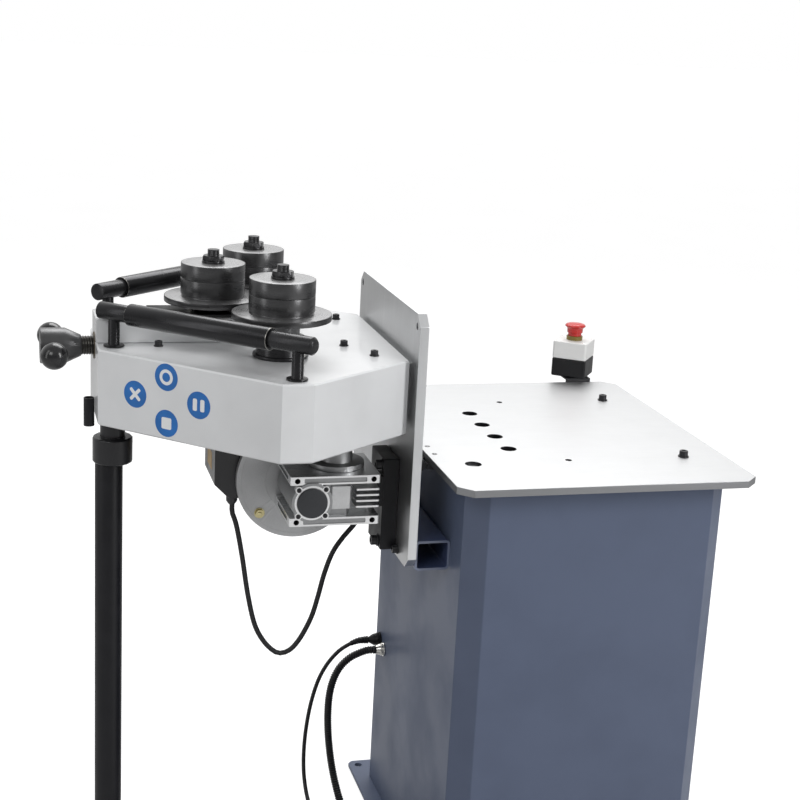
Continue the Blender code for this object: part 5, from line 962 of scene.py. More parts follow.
def plate():
    base, top = low("head_plate"), high("head_plate")
    outline = cut_corners(base.y, top.y, base.z, top.z, PLATE_CORNER)
    piece = prism("tilting_plate", outline, base.x, top.x, YZ_PLANE)
    eased_edges(piece, PLATE_EDGE, 3)
    dressed(piece, plate_steel, plate_edge_highlight)
    # The plate's edge faces take the lighter steel, a painted highlight
    for polygon in piece.data.polygons:
        if abs(polygon.normal.x) < PLATE_HIGHLIGHT_RIM:
            polygon.material_index = 1
    holes = [(place, LOCK_HOLE_RADIUS) for place in PLATE_LOCKS]
    holes.append((PLATE_CROSSING, MOTOR_CABLE_DIAMETER))
    cutters = [
        cylinder(radius, (0, *place), RIGHT, base.x - PAST, top.x + PAST)
        for place, radius in holes
    ]
    stands_for(drilled(piece, *cutters), "head_plate")


# The head's housing and what stands on it


def head_shell():
    copied("head_housing", "gear_case", head_paint, 0.8 * MM, 2, 25)
    copied("housing_floor", "case_floor", black_paint)
    copied("slide_guide", "way", head_paint, 1 * MM)
    copied("slide_block", "slide", black_metal, 0.7 * MM)


# Rolls, in millimetres: radius and height
ROLL_BORE = 15.3
SEAT = 49
BARREL = [
    (SEAT, 3.5),
    (51, 3.5),
    (51, 28.2),
    (49.9, 28.7),
    (49.9, 29.1),
    (51, 29.6),
    (51, 53.0),
    (ROLL_BORE, 53.0),
]
DRIVE_HUB = [(29, 0), (29, 27)]
PRESS_HUB = [(27, 0), (45, 14)]
FLANGE = 77
FLANGE_THICK = 9.5
ROLL_STEPS = 128


def oxide(node, steel, word="_oxide"):
    """Blackened steel with tool marks round a node's upright axis."""
    return turned_metal(node + word, middle(node), UP, *steel)


def roll(node, hub):
    """A forming roll: its hub, flange, seat and barrel with turned grooves, and a painted
    reflection on its up-facing faces.
    """
    flange_bottom = hub[-1][1]
    flange_top = flange_bottom + FLANGE_THICK
    profile = [(ROLL_BORE, 0)] + hub
    profile += [(FLANGE, flange_bottom), (FLANGE, flange_top), (SEAT, flange_top)]
    profile += [(radius, flange_top + up) for radius, up in BARREL]
    name = node + "_turned"
    piece = turned(name, mm(*profile), foot(node), edge=1.0 * MM, steps=ROLL_STEPS, ring=True)
    # Up-facing faces take the lighter oxide, a painted reflection on the tops of the roll and its
    # flange
    for polygon in piece.data.polygons:
        polygon.material_index = int(polygon.normal.z > FLAT)
    stands_for(piece, node, oxide(node, SIDE_OXIDE), oxide(node, LIT_TOP_OXIDE, "_lit_top"))


# Roll shafts with their washers and nuts, in millimetres above the washer's underside
SHAFT = 15
SHAFT_END = 21
WASHER = [(18, 0.3), (18, 3.3)]
NUT_RADIUS = 17.9
NUT_HEIGHTS = (3.3, 11.3)
NUT_STEPS = 48
NUT_TURN = math.radians(11)
NUT_CHAMFER_SHARE = 0.075
NUT_FACE_SHARE = 0.9
STUD = 9.5
STUD_TIP = 8.7
STUD_PITCH = 1.5
STUD_THREAD = 0.5
STUD_THREAD_START = 11.8
STUD_THREAD_END = 20
STUD_CHAMFER = 20.2


def hexagon_nut(bm, radius, bottom, top, matrix):
    """A hexagon nut with both of its ends chamfered."""
    chamfer = radius * NUT_CHAMFER_SHARE
    face = radius * NUT_FACE_SHARE
    levels = [(bottom, face), (bottom + chamfer, radius), (top - chamfer, radius), (top, face)]
    rings = []
    for height, limit in levels:
        ring = []
        for i in range(NUT_STEPS):
            angle = math.tau * i / NUT_STEPS
            reach = min(hexagon(radius, angle), limit)
            ring.append((reach * math.cos(angle), reach * math.sin(angle), height))
        rings.append(ring_into(bm, ring, matrix))
    bm.faces.new(rings[0])
    bm.faces.new(rings[-1])
    skin(bm, rings)


def roll_shaft(node):
    """A roll's shaft with its washer, its nut and the threaded end above it."""
    place = foot(node)
    bottom = place.z
    place.z = high(node).z - SHAFT_END * MM
    foot_height = (bottom - place.z) / MM
    profile = [(0, foot_height), (SHAFT, foot_height), (SHAFT, WASHER[0][1])] + WASHER
    profile.append((STUD, NUT_HEIGHTS[0]))
    height = STUD_THREAD_START
    while height < STUD_THREAD_END:
        profile += [(STUD, height), (STUD - STUD_THREAD, height + STUD_PITCH / 2)]
        height += STUD_PITCH
    profile += [(STUD, height), (STUD, STUD_CHAMFER), (STUD_TIP, SHAFT_END), (0, SHAFT_END)]
    bm = bmesh.new()
    spin_into(bm, eased(mm(*profile), 0.3 * MM), aimed(place), FINE)
    heights = [height * MM for height in NUT_HEIGHTS]
    hexagon_nut(bm, NUT_RADIUS * MM, *heights, aimed(place, UP, NUT_TURN))
    stands_for(new_piece(node + "_turned", bm), node, oxide(node, NUT_OXIDE))


BOSS = [(16, 0), (43, 0), (43, 5), (38, 5), (38, 31.7), (16, 31.7)]


def boss(node):
    place = foot(node)
    piece = turned(node + "_turned", mm(*BOSS), place, edge=1 * MM, ring=True)
    stands_for(piece, node, turned_metal(node + "_oxide", place, UP, *BOSS_OXIDE))


# The support rails. Profiles are in millimetres along the rail, or up a post
RAIL_BACK_POST = Vector((-0.744, 0.0561, 0))
RAIL_FRONT_POST = Vector((-0.500, 0.2803, 0))
RAIL_UP = {"front": 1.002, "rear": 1.014}
RAIL_RADIUS = 13.5
RAIL_CORE = 10
RAIL = [
    (0, -25),
    (RAIL_RADIUS, -25),
    (RAIL_RADIUS, 30.7),
    (RAIL_CORE, 30.7),
    (RAIL_CORE, 285.3),
    (RAIL_RADIUS, 285.3),
]
RAIL_FRONT_OVERHANG = 29
RAIL_CHAMFER = 4
POST_RADIUS = 9
POST = [(0, 0), (16, 0), (16, 2.5), (POST_RADIUS, 2.5)]
# Width of the lighter band at each sleeve end, which is a painted highlight
PAINTED_HIGHLIGHT_RIM = 0.5 * MM
SLEEVE_ENDS = (31, 285)
SLEEVE = [(10.3, 31), (17, 31), (17, 285), (10.3, 285)]


def rail(word, side):
    """A rail on its two posts, and the sleeve that turns on it."""
    posts = [Vector((p.x, p.y * side, RAIL_UP[word])) for p in (RAIL_BACK_POST, RAIL_FRONT_POST)]
    back, front = posts
    direction = (front - back).normalized()
    end = (front - back).length / MM + RAIL_FRONT_OVERHANG
    profile = RAIL + [(RAIL_RADIUS, end - RAIL_CHAMFER)]
    profile += [(RAIL_RADIUS - RAIL_CHAMFER, end), (0, end)]
    bm = bmesh.new()
    spin_into(bm, eased(mm(*profile), 0.6 * MM), aimed(back, direction))
    node = "support_rail_" + word
    floor_height = low(node).z
    for post in posts:
        up = (post.z - floor_height) / MM
        shape = POST + [(POST_RADIUS, up), (0, up)]
        matrix = aimed((post.x, post.y, floor_height))
        spin_into(bm, eased(mm(*shape), 0.5 * MM), matrix, FINE)
    metal = turned_metal(node + "_oxide", back, direction, *RAIL_OXIDE)
    stands_for(new_piece(node + "_turned", bm), node, metal)
    node = "support_sleeve_" + word
    piece = turned(node + "_turned", mm(*SLEEVE), back, direction, edge=0.8 * MM, ring=True)
    # A thin band at each end of the sleeve takes the lighter steel: a painted highlight
    for polygon in piece.data.polygons:
        along = (polygon.center - back).dot(direction)
        lit_rim = min(along - SLEEVE_ENDS[0] * MM, SLEEVE_ENDS[1] * MM - along) < PAINTED_HIGHLIGHT_RIM
        polygon.material_index = int(lit_rim and abs(polygon.normal.dot(direction)) < FLAT)
    metal = turned_metal(node + "_oxide", back, direction, *SLEEVE_OXIDE)
    stands_for(piece, node, metal, gear_steel)


# The pressing screw, its hub and its handle
SCREW_PITCH = 4 * MM
SCREW_THREAD = 0.9 * MM
THREAD_STEPS = 8
NECK = 9 * MM
HUB_LENGTH = 63.6
HUB = [(0, 0), (16.5, 0), (28, 25.2), (28, HUB_LENGTH), (0, HUB_LENGTH)]
HUB_BORE_REACH = 40 * MM
BAR_RADIUS = 6 * MM
BAR_PLAY = 1.03
BAR_HALF = 60 * MM
BAR_TILT = math.radians(2.7)
KNOB_RADIUS = 21.2 * MM
KNOB_ROWS = 32


def thread_into(bm, radius, depth, pitch, length, matrix):
    """A screw thread that winds along the matrix's Z axis."""
    rows = max(2, round(length / pitch * THREAD_STEPS))
    rings = []
    for row in range(rows + 1):
        height = length * row / rows
        ring = []
        for i in range(FINE):
            phase = (height / pitch - i / FINE) % 1
            fall = min(max(abs(phase - 0.5) * 4 - 0.5, 0), 1)
            here = radius - depth * fall
            angle = math.tau * i / FINE
            ring.append((here * math.cos(angle), here * math.sin(angle), height))
        rings.append(ring_into(bm, ring, matrix))
    skin(bm, rings)
    bm.faces.new(rings[0])
    bm.faces.new(rings[-1])


def pressing_screw():
    base, top = low("lead_screw"), high("lead_screw")
    centre = middle("lead_screw")
    axis = Vector((0, centre.y, centre.z))
    neck_start = -low("screw_hub").x - HUB_LENGTH * MM
    bm = bmesh.new()
    at = axis + RIGHT * top.x
    length = neck_start + top.x
    thread_into(bm, (top.z - base.z) / 2, SCREW_THREAD, SCREW_PITCH, length, aimed(at, LEFT))
    neck = [(0, neck_start), (NECK, neck_start), (NECK, -base.x), (0, -base.x)]
    spin_into(bm, neck, aimed(axis, LEFT), FINE)
    stands_for(new_piece("pressing_screw", bm), "lead_screw", grease_steel)
    copied("screw_nut", "bronze_nut", bronze, 0.6 * MM)


def hub_and_handle():
    """The hub on the screw's end, and the bar through it with a ball at each end."""
    place = middle("screw_hub")
    bar_centre = Vector((middle("handle_bar").x, place.y, place.z))
    place.x = high("screw_hub").x
    hub = turned("hub", mm(*HUB), place, LEFT, edge=1.6 * MM)
    across = Vector((0, math.cos(BAR_TILT), math.sin(BAR_TILT)))
    reach = HUB_BORE_REACH
    drilled(hub, cylinder(BAR_RADIUS * BAR_PLAY, bar_centre, across, -reach, reach))
    stands_for(hub, "screw_hub", turned_metal("hub_oxide", place, LEFT, *HUB_OXIDE))
    bm = bmesh.new()
    half = BAR_HALF
    bar = [(0, -half), (BAR_RADIUS, -half), (BAR_RADIUS, half), (0, half)]
    spin_into(bm, bar, aimed(bar_centre, across), FINE)
    angles = [-math.pi / 2 + math.pi * i / KNOB_ROWS for i in range(1, KNOB_ROWS)]
    knob = [(KNOB_RADIUS * math.cos(angle), KNOB_RADIUS * math.sin(angle)) for angle in angles]
    knob = [(0, -KNOB_RADIUS), *knob, (0, KNOB_RADIUS)]
    for sign in (-1, 1):
        spin_into(bm, knob, aimed(bar_centre + across * half * sign, across), FINE)
    stands_for(new_piece("handle", bm), "handle_bar", gloss_black)


# The leg under the head's nose, and the key holder
LEG = [(0, 0), (45, 0), (45, 9.0), (43.8, 10), (22.2, 10), (22.2, 774.3), (0, 774.3)]
LEG_STEPS = 64
KEY_TUBE = [(0, 0), (8.5, 0), (8.5, 46), (7, 46), (7, 1.5), (0, 1.5)]


def leg():
    centre = middle("leg_tube")
    place = (centre.x, centre.y, 0)
    piece = turned("leg", mm(*LEG), place, edge=0.8 * MM, steps=LEG_STEPS)
    stands_for(piece, "leg_tube", black_paint)
    copied("leg_collar", "split_collar", black_metal, 0.7 * MM)
    piece = turned("key_tube", mm(*KEY_TUBE), foot("key_holder"), edge=0.3 * MM, steps=FINE)
    stands_for(piece, "key_holder", black_paint)


# The drive under the head
WORM_PLACE = Vector((-0.446, 0, 0.719))
SLAB = 13.5 * MM
SLAB_SETBACK = 2 * MM
FRAME_LIP = 3 * MM
RECESS = 1.6 * MM
RECESS_ROUND = 1.5 * MM
CORE_INSET = 11 * MM
LUG_INSET = 11 * MM
LUG_HOLE = 4.5 * MM
CASE_EDGE = 0.5 * MM
CASE_FINS = 4
CASE_FIN_PITCH = 9.5 * MM
CASE_FIN = 3 * MM
CASE_FIN_LEFT = -0.374
CASE_FIN_RISE = 4 * MM
CAP_SCREW_CIRCLE = 30.5 * MM
PAD_LEFT = -0.414
PAD_RIGHT = -0.3825
RIB_SPACING = 17 * MM
RIB_HALF = 2 * MM
RIB_OVERLAP = 1 * MM
WORM_TUBE = [(0, 0), (33, 0), (33, 118), (0, 118)]
CAP_RIM = [(24.8, 0), (28.2, 0), (28.2, 2.4), (24.8, 2.4), (24.8, 0)]
CAP_BOSS = [(0, 0), (5.6, 0), (5.6, 9), (0, 9)]
CAP_PROUD = 0.2 * MM
BOSS_PROUD = 0.1 * MM
CAP = [(0, 0), (24.3, 0), (24.3, 3), (0, 3)]
CORE_CUT = 5 * MM
SLAB_CUT = 2 * MM
PAD_CUT = 1.5 * MM
CASE_FIN_CUT = 1 * MM
RIB_CUT = 0.8 * MM
WEB_SETBACK = SLAB * 3
PAD_SETBACK = 5 * MM
PAD_OVERLAP = 4 * MM
PAD_TOP = SLAB * 1.75
CASE_FIN_SETBACK = 2 * MM
CASE_FIN_SHORT = 0.5 * MM
RIB_SETBACK = 3 * MM
WORM_TUBE_EDGE = 1.2 * MM

# The numbers of the case's milled faces and of its small pad, among its materials
BRIGHT = 1
PAD = 2


def round_worm(y, x=WORM_PLACE.x, z=WORM_PLACE.z):
    """The matrix of a shape that is turned round the worm's axis, from this y backwards."""
    return aimed((x, y, z), BACK)


def cap_screw_places():
    """The four screws round the worm's end cap, as x and z."""
    turn = math.pi / 4
    return circle(CAP_SCREW_CIRCLE, 4, (WORM_PLACE.x, WORM_PLACE.z), turn, turn + math.tau)


def case_body(bm, base, top, front):
    """The cast core with its web, its pad, two milled slabs, its fins and its ribs."""
    back = top.y - CORE_INSET
    inner = (base.z + SLAB / 2, top.z - SLAB / 2)
    flat = Matrix()
    core = cut_corners(base.x + CORE_INSET, PAD_RIGHT, front + CORE_INSET, back, CORE_CUT)
    prism_into(bm, core, flat, *inner)
    web_left, web_right = PAD_RIGHT - CORE_INSET, top.x - CORE_INSET
    web = cut_corners(web_left, web_right, front + WEB_SETBACK, back, SLAB_CUT)
    prism_into(bm, web, flat, *inner)
    pad_back = front + CORE_INSET + PAD_OVERLAP
    pad = cut_corners(PAD_LEFT, PAD_RIGHT, front + PAD_SETBACK, pad_back, PAD_CUT)
    prism_into(bm, pad, flat, WORM_PLACE.z - SLAB, WORM_PLACE.z + PAD_TOP, PAD)
    slab = cut_corners(base.x, top.x, front, top.y, SLAB_CUT)
    for bottom in (base.z, top.z - SLAB):
        prism_into(bm, slab, flat, bottom, bottom + SLAB, BRIGHT)
    spin_into(bm, eased(mm(*WORM_TUBE), WORM_TUBE_EDGE), round_worm(base.y))
    spin_into(bm, mm(*CAP_RIM), round_worm(base.y - CAP_PROUD), ROUND, BRIGHT)
    for x, z in cap_screw_places():
        spin_into(bm, mm(*CAP_BOSS), round_worm(base.y - BOSS_PROUD, x, z), FINE, BRIGHT)
    fin_ends = (front + CASE_FIN_SETBACK, top.y - CASE_FIN_SETBACK)
    fin = cut_corners(CASE_FIN_LEFT, top.x - CASE_FIN_SHORT, *fin_ends, CASE_FIN_CUT)
    for i in range(CASE_FINS):
        height = WORM_PLACE.z + (i - (CASE_FINS - 1) / 2) * CASE_FIN_PITCH + CASE_FIN_RISE
        prism_into(bm, fin, flat, height - CASE_FIN / 2, height + CASE_FIN / 2, BRIGHT)
    rib_ends = (front + RIB_SETBACK, top.y - RIB_SETBACK)
    for side in (-1, 1):
        x = WORM_PLACE.x + side * RIB_SPACING
        rib = cut_corners(x - RIB_HALF, x + RIB_HALF, *rib_ends, RIB_CUT)
        prism_into(bm, rib, flat, base.z + SLAB - RIB_OVERLAP, top.z - SLAB + RIB_OVERLAP)


def case_holes(base, top, front):
    """Cutters for the lugs' holes, and for the recess in each slab's front and left face."""
    heights = (base.z + SLAB / 2, top.z - SLAB / 2)
    holes = []
    for x in (base.x + LUG_INSET, top.x - LUG_INSET):
        for z in heights:
            holes.append(cylinder(LUG_HOLE, (x, 0, z), BACK, base.y - SLAB, top.y + SLAB, SMALL))
    faces = ((base.x, top.x, XZ_PLANE, front), (front, top.y, YZ_PLANE, base.x))
    for z in heights:
        for start, end, plane, face in faces:
            size = (end - start - 4 * LUG_INSET, SLAB - 2 * FRAME_LIP)
            outline = rounded_rectangle(*size, RECESS_ROUND, 4, ((start + end) / 2, z))
            holes.append(prism("recess", outline, face - SLAB, face + RECESS, plane))
    return holes


def gearbox():
    base, top = low("gearbox_housing"), high("gearbox_housing")
    front = base.y + SLAB_SETBACK
    bm = bmesh.new()
    case_body(bm, base, top, front)
    case = new_piece("gearbox_case", bm)
    dressed(case, cast_aluminium, milled_aluminium, pad_casting)
    drilled(case, *case_holes(base, top, front), overlapping=True)
    stands_for(eased_edges(case, CASE_EDGE, 2, 40), "gearbox_housing")
    place = Vector((WORM_PLACE.x, low("gearbox_cap").y, WORM_PLACE.z))
    cap = turned("end_cap", mm(*CAP), place, BACK, edge=0.8 * MM)
    stands_for(cap, "gearbox_cap", cap_plastic)


OUTLET = [(13.5, 0), (45, 0), (45, 9), (26, 9), (26, 59.6), (34, 59.6), (34, 65.6), (13.5, 65.6)]


def outlet():
    node = "gearbox_outlet"
    piece = turned("outlet_neck", mm(*OUTLET), foot(node), edge=1 * MM, ring=True)
    stands_for(piece, node, cast_aluminium)
    copied("gearbox_bracket", "gearbox_mount", black_paint, 1 * MM)


# The motor: its flange's scribed face in millimetres, and its fins
FLANGE_RADIUS = 100
FLANGE_BACK = 11.7
FLANGE_FACE = [
    (0, 0),
    (52, 0),
    (52, 0.5),
    (53, 0.5),
    (53, 0),
    (92, 0),
    (92, 0.4),
    (92.7, 0.4),
    (92.7, 0),
    (FLANGE_RADIUS, 0),
    (FLANGE_RADIUS, FLANGE_BACK),
]
FLANGE_STEPS = 128
FLANGE_HOLE_COUNT = 4
FLANGE_HOLE_CIRCLE = 82.5 * MM
FLANGE_HOLE = 5.5 * MM
MOTOR_CORE = 63.5
MOTOR_FIN_TIP = 68.8 * MM
MOTOR_FIN_COUNT = 36
MOTOR_FIN_THICK = 1.6 * MM
MOTOR_FIN_TAPER = 0.7
MOTOR_FIN_FRONT = 15 * MM
MOTOR_FIN_BACK = 1 * MM


def round_motor(angle):
    """The matrix that lays an outline across the motor's axis, turned by an angle."""
    turn = Matrix.Rotation(angle, 4, "Y")
    return Matrix.Translation((WORM_PLACE.x, 0, WORM_PLACE.z)) @ turn @ XZ_PLANE


def motor():
    """The motor: a flange with four holes and scribed rings, a core and fins along it."""
    base, top = low("motor_body"), high("motor_body")
    length = (top.y - base.y) / MM
    profile = FLANGE_FACE + [(MOTOR_CORE, FLANGE_BACK), (MOTOR_CORE, length), (0, length)]
    bm = bmesh.new()
    spin_into(bm, eased(mm(*profile), 0.8 * MM), round_worm(base.y), FLANGE_STEPS)
    body = new_piece("motor_casting", bm)
    turn = math.pi / 4
    centre = (WORM_PLACE.x, WORM_PLACE.z)
    places = circle(FLANGE_HOLE_CIRCLE, FLANGE_HOLE_COUNT, centre, turn, turn + math.tau)
    ends = (base.y - SLAB, base.y + SLAB)
    drilled(body, *[cylinder(FLANGE_HOLE, (x, 0, z), BACK, *ends) for x, z in places])
    inner = (MOTOR_CORE - 1) * MM
    half = MOTOR_FIN_THICK / 2
    tip = half * MOTOR_FIN_TAPER
    fin = [(inner, -half), (MOTOR_FIN_TIP, -tip), (MOTOR_FIN_TIP, tip), (inner, half)]
    ends = (base.y + MOTOR_FIN_FRONT, top.y - MOTOR_FIN_BACK)
    bm = mesh_of(body.data)
    for i in range(MOTOR_FIN_COUNT):
        prism_into(bm, fin, round_motor(math.tau * (i + 0.5) / MOTOR_FIN_COUNT), *ends)
    added_to(body, bm)
    stands_for(body, "motor_body", motor_casting)


COVER_SLOTS = 24
COVER_SLOT = (26 * MM, 3 * MM, 1.4 * MM)
COVER_SLOT_RADIUS = 36 * MM
COVER_SLOT_DEPTH = 2 * MM
COVER_ROUND = 12 * MM


def fan_cover():
    """The fan's cover, with a ring of slots in its end."""
    base, top = low("motor_fan_cover"), high("motor_fan_cover")
    radius = (top.x - base.x) / 2
    length = top.y - base.y
    corner = (radius - COVER_ROUND, length - COVER_ROUND)
    profile = [(0, 0), (radius, 0), *circle(COVER_ROUND, 8, corner, 0, math.pi / 2), (0, length)]
    place = (WORM_PLACE.x, base.y, WORM_PLACE.z)
    cover = turned("fan_cover", profile, place, BACK, edge=0.5 * MM)
    bm = bmesh.new()
    outline = rounded_rectangle(*COVER_SLOT, 4, (COVER_SLOT_RADIUS, 0))
    for i in range(COVER_SLOTS):
        matrix = round_motor(math.tau * i / COVER_SLOTS)
        prism_into(bm, outline, matrix, top.y - COVER_SLOT_DEPTH, top.y + COVER_SLOT_DEPTH)
    drilled(cover, new_piece("slots", bm))
    stands_for(cover, "motor_fan_cover", motor_casting)


# The switch station. Profiles are in millimetres
STATION_TURN = math.radians(-36)
STATION_SIDE = 67.2 * MM
STATION_ROUND = 5 * MM
STATION_EDGE = 2.2 * MM
COVER_TOP = 8 * MM
BUTTON_BORE = 13.3 * MM
BUTTON_BORE_HALF = 6 * MM
STATION_SCREW_REACH = 26 * MM
STATION_RING = [(15.6, -0.4), (15.6, 7.3), (14.9, 8), (13.4, 8), (13.4, -0.4), (15.6, -0.4)]
STATION_SCREW = [(0, -0.5), (3, -0.5), (3, -0.1), (2.6, 0.35), (0, 0.35)]
MUSHROOM = [
    (0, 0),
    (12.9, 0),
    (12.9, 12.7),
    (15, 13.4),
    (15.4, 18.4),
    (16.8, 20.2),
    (19.9, 21.6),
    (19.9, 22.9),
    (17.6, 24.4),
    (9, 25.6),
    (0, 25.9),
]


def station():
    """The switch box: its back, its white cover with a yellow ring, and the mushroom button."""
    centre = middle("estop_base")
    spin = Matrix.Translation((centre.x, centre.y, 0)) @ Matrix.Rotation(STATION_TURN, 4, "Z")
    outline = rounded_rectangle(STATION_SIDE, STATION_SIDE, STATION_ROUND)
    ends = (low("estop_base").z, high("estop_base").z)
    box = eased_edges(prism("switch_back", outline, *ends, spin), STATION_EDGE, 3)
    stands_for(box, "estop_base", black_plastic)

    top = high("estop_cover").z - COVER_TOP
    cover = prism("switch_cover", outline, low("estop_cover").z, top, spin)
    eased_edges(cover, STATION_EDGE, 3)
    place = (centre.x, centre.y, 0)
    ends = (top - BUTTON_BORE_HALF, top + BUTTON_BORE_HALF)
    drilled(cover, cylinder(BUTTON_BORE, place, UP, *ends))
    bm = mesh_of(cover.data)
    spin_into(bm, mm(*STATION_RING), aimed((centre.x, centre.y, top)), FINE, material=1)
    for sx in (-1, 1):
        for sy in (-1, 1):
            corner = spin @ Vector((sx * STATION_SCREW_REACH, sy * STATION_SCREW_REACH, top))
            spin_into(bm, mm(*STATION_SCREW), aimed(corner), SMALL, material=2)
    added_to(cover, bm)
    stands_for(cover, "estop_cover", white_plastic, yellow_plastic, nickel)

    place = (centre.x, centre.y, low("estop_button").z)
    unit = (high("estop_button").z - place[2]) / MUSHROOM[-1][1]
    shape = [(radius * MM, up * unit) for radius, up in MUSHROOM]
    button = turned("stop_mushroom", shape, place, edge=1.2 * MM)
    stands_for(button, "estop_button", red_plastic)
    copied("estop_bracket", "station_angle", black_paint, 0.5 * MM)


def hinges():
    for word in ("front", "rear"):
        for node in ("table_hinge_" + word, "plate_hinge_" + word):
            copied(node, node + "_steel", black_metal, 0.4 * MM, 2, 40)


# Glands, plug and pedal. Profiles are in millimetres, shares of a gland's radius or length
GLAND = 13.5
GLAND_FLANGE = 3.4
GLAND_EDGE = 0.6 * MM
GLAND_LIP = 0.8
GLAND_NUT_START = 3.2
GLAND_NUT_SHARE = 0.98
GLAND_NUT_END_SHARE = 0.36
DOME_FOOT = 3
DOME_START = 4
DOME_ROWS = 4
DOME_END_SHARE = 0.55
DOME_SHARE = 0.8
RIDGE_SHARE = 0.84
GROOVE_SHARE = 0.78
RIDGE_WIDTH_SHARE = 0.7


def gland(node, cord_diameter, material):
    """A cable gland: a flange on the wall, a hexagon body and a ribbed dome nut."""
    centre = middle(node)
    length = (high(node).x - low(node).x) / MM
    matrix = aimed((high(node).x, centre.y, centre.z), LEFT)
    bm = bmesh.new()
    flange = [(0, 0), (GLAND, 0), (GLAND, GLAND_FLANGE), (0, GLAND_FLANGE)]
    spin_into(bm, eased(mm(*flange), GLAND_EDGE), matrix, FINE)
    dome = [(0, DOME_FOOT), (GLAND * DOME_SHARE, DOME_FOOT)]
    end = length * DOME_END_SHARE
    rise = (end - DOME_START) / DOME_ROWS
    for row in range(DOME_ROWS):
        up = DOME_START + rise * row
        groove = (GLAND * GROOVE_SHARE, up + rise * RIDGE_WIDTH_SHARE)
        dome += [(GLAND * RIDGE_SHARE, up), groove]
    mouth = (cord_diameter / 2 / MM + GLAND_LIP, length)
    dome += [(GLAND * DOME_SHARE, end), mouth, (0, length)]
    spin_into(bm, mm(*dome), matrix, FINE)
    nut_ends = (GLAND_NUT_START * MM, length * GLAND_NUT_END_SHARE * MM)
    hexagon_nut(bm, GLAND * GLAND_NUT_SHARE * MM, *nut_ends, matrix)
    stands_for(new_piece(node + "_body", bm), node, material)


RELIEF_ROUTE_POINTS = 12
RELIEF_LENGTH = 34
RELIEF_WALL = 0.5
RELIEF_FLARE = 2.6
RELIEF_RING = 0.5
RELIEF_PERIOD = 5
RELIEF_RING_WIDTH = 3
RELIEF_SIDES = 20


def strain_relief(path):
    """A ribbed, tapered sleeve round the mains lead where it leaves its gland."""
    points = even_points(path[:RELIEF_ROUTE_POINTS], 1 * MM)[: RELIEF_LENGTH + 1]
    radii = []
    for i in range(len(points)):
        taper = 1 - i / RELIEF_LENGTH
        ring = RELIEF_RING if i % RELIEF_PERIOD < RELIEF_RING_WIDTH else 0
        radii.append(MAINS_DIAMETER / 2 + (RELIEF_WALL + RELIEF_FLARE * taper + ring) * MM)
    sleeve = swept("strain_relief", points, radii, RELIEF_SIDES)
    return extra(sleeve, "stand", "black_plastic", black_plastic)


PLUG_BODY = [(10.5, 27), (13, 29), (18.6, 33), (18.9, 40), (18.9, 64), (17.5, 66), (0, 66)]
PLUG_RIBS = 7
PLUG_RIB_PITCH = 3.2
PLUG_RIB_FLARE = 0.7
PIN_SPACING = 9.5 * MM


def plug():
    """The mains plug: a ribbed grip, a round body and its pins."""
    base, top = low("mains_plug"), high("mains_plug")
    centre = middle("mains_plug")
    reach = (top.x - base.x) / MM
    grip = [(0, 0), (5.5, 0)]
    for i in range(PLUG_RIBS):
        wider, further = PLUG_RIB_FLARE * i, PLUG_RIB_PITCH * i
        grip += [(5.6 + wider, 3 + further), (4.6 + wider, 4.6 + further)]
    bm = bmesh.new()
    matrix = aimed((top.x, centre.y, centre.z), LEFT)
    spin_into(bm, eased(mm(*grip, *PLUG_BODY), 0.5 * MM), matrix, FINE)
    pin = [(0, 65), (2.4, 65), (2.4, reach - 0.8), (1.6, reach), (0, reach)]
    for side in (-1, 1):
        place = (top.x, centre.y + side * PIN_SPACING, centre.z)
        spin_into(bm, mm(*pin), aimed(place, LEFT), SMALL, material=1)
    return stands_for(new_piece("plug", bm), "mains_plug", black_plastic, nickel)


def pedal():
    copied("pedal_base", "pedal_foot", pedal_paint, 1.2 * MM)
    copied("pedal_tread", "pedal_top", rubber, 0.5 * MM)


def gears():
    """The gears inside the head keep their own shapes, and get oiled steel."""
    for node in ("drive_gear_front", "drive_gear_rear", "idler_gear", "pinion"):
        materials = nodes[node].data.materials
        materials.clear()
        materials.append(gear_steel)


# Small fasteners, set out with Geometry Nodes: radius, height, and whether it is hexagonal
SCREW_STEPS = 24
SCREW_CENTRE = 0.01
SOCKET = 3.4
SCREW_RINGS = [
    (SCREW_CENTRE, -0.2, False),
    (8.2, -0.2, False),
    (8.2, 1.3, False),
    (7.8, 1.7, False),
    (6.5, 1.7, False),
    (6.5, 8.6, False),
    (5.9, 9.4, False),
    (SOCKET, 9.4, True),
    (SOCKET, 5.4, True),
    (SCREW_CENTRE, 5.0, False),
]
BUTTON_RINGS = [
    (SCREW_CENTRE, -0.2, False),
    (5.5, -0.2, False),
    (5.4, 1.0, False),
    (4.2, 2.6, False),
    (2.0, 3.2, True),
    (2.0, 1.6, True),
    (SCREW_CENTRE, 1.5, False),
]
FLAT_RINGS = [
    (SCREW_CENTRE, -0.4, False),
    (6.4, -0.4, False),
    (6.4, 0.15, False),
    (5.8, 0.25, False),
    (2.6, 0.25, True),
    (2.6, -0.2, True),
    (SCREW_CENTRE, -0.25, False),
]
NUT_WASHER = [(0, 0), (8.6, 0), (8.6, 1.4), (0, 1.4)]
NUT_BODY = (7.6, 1.4, 6.0)
NUT_STUD = [(0, 5), (3.6, 5), (3.6, 7.2), (3, 7.8), (0, 7.8)]


def kept_aside(name, bm):
    """A shape for the Geometry Nodes to repeat, which isn't in the scene itself."""
    obj = new_piece(name, bm)
    bpy.context.scene.collection.objects.unlink(obj)
    return obj


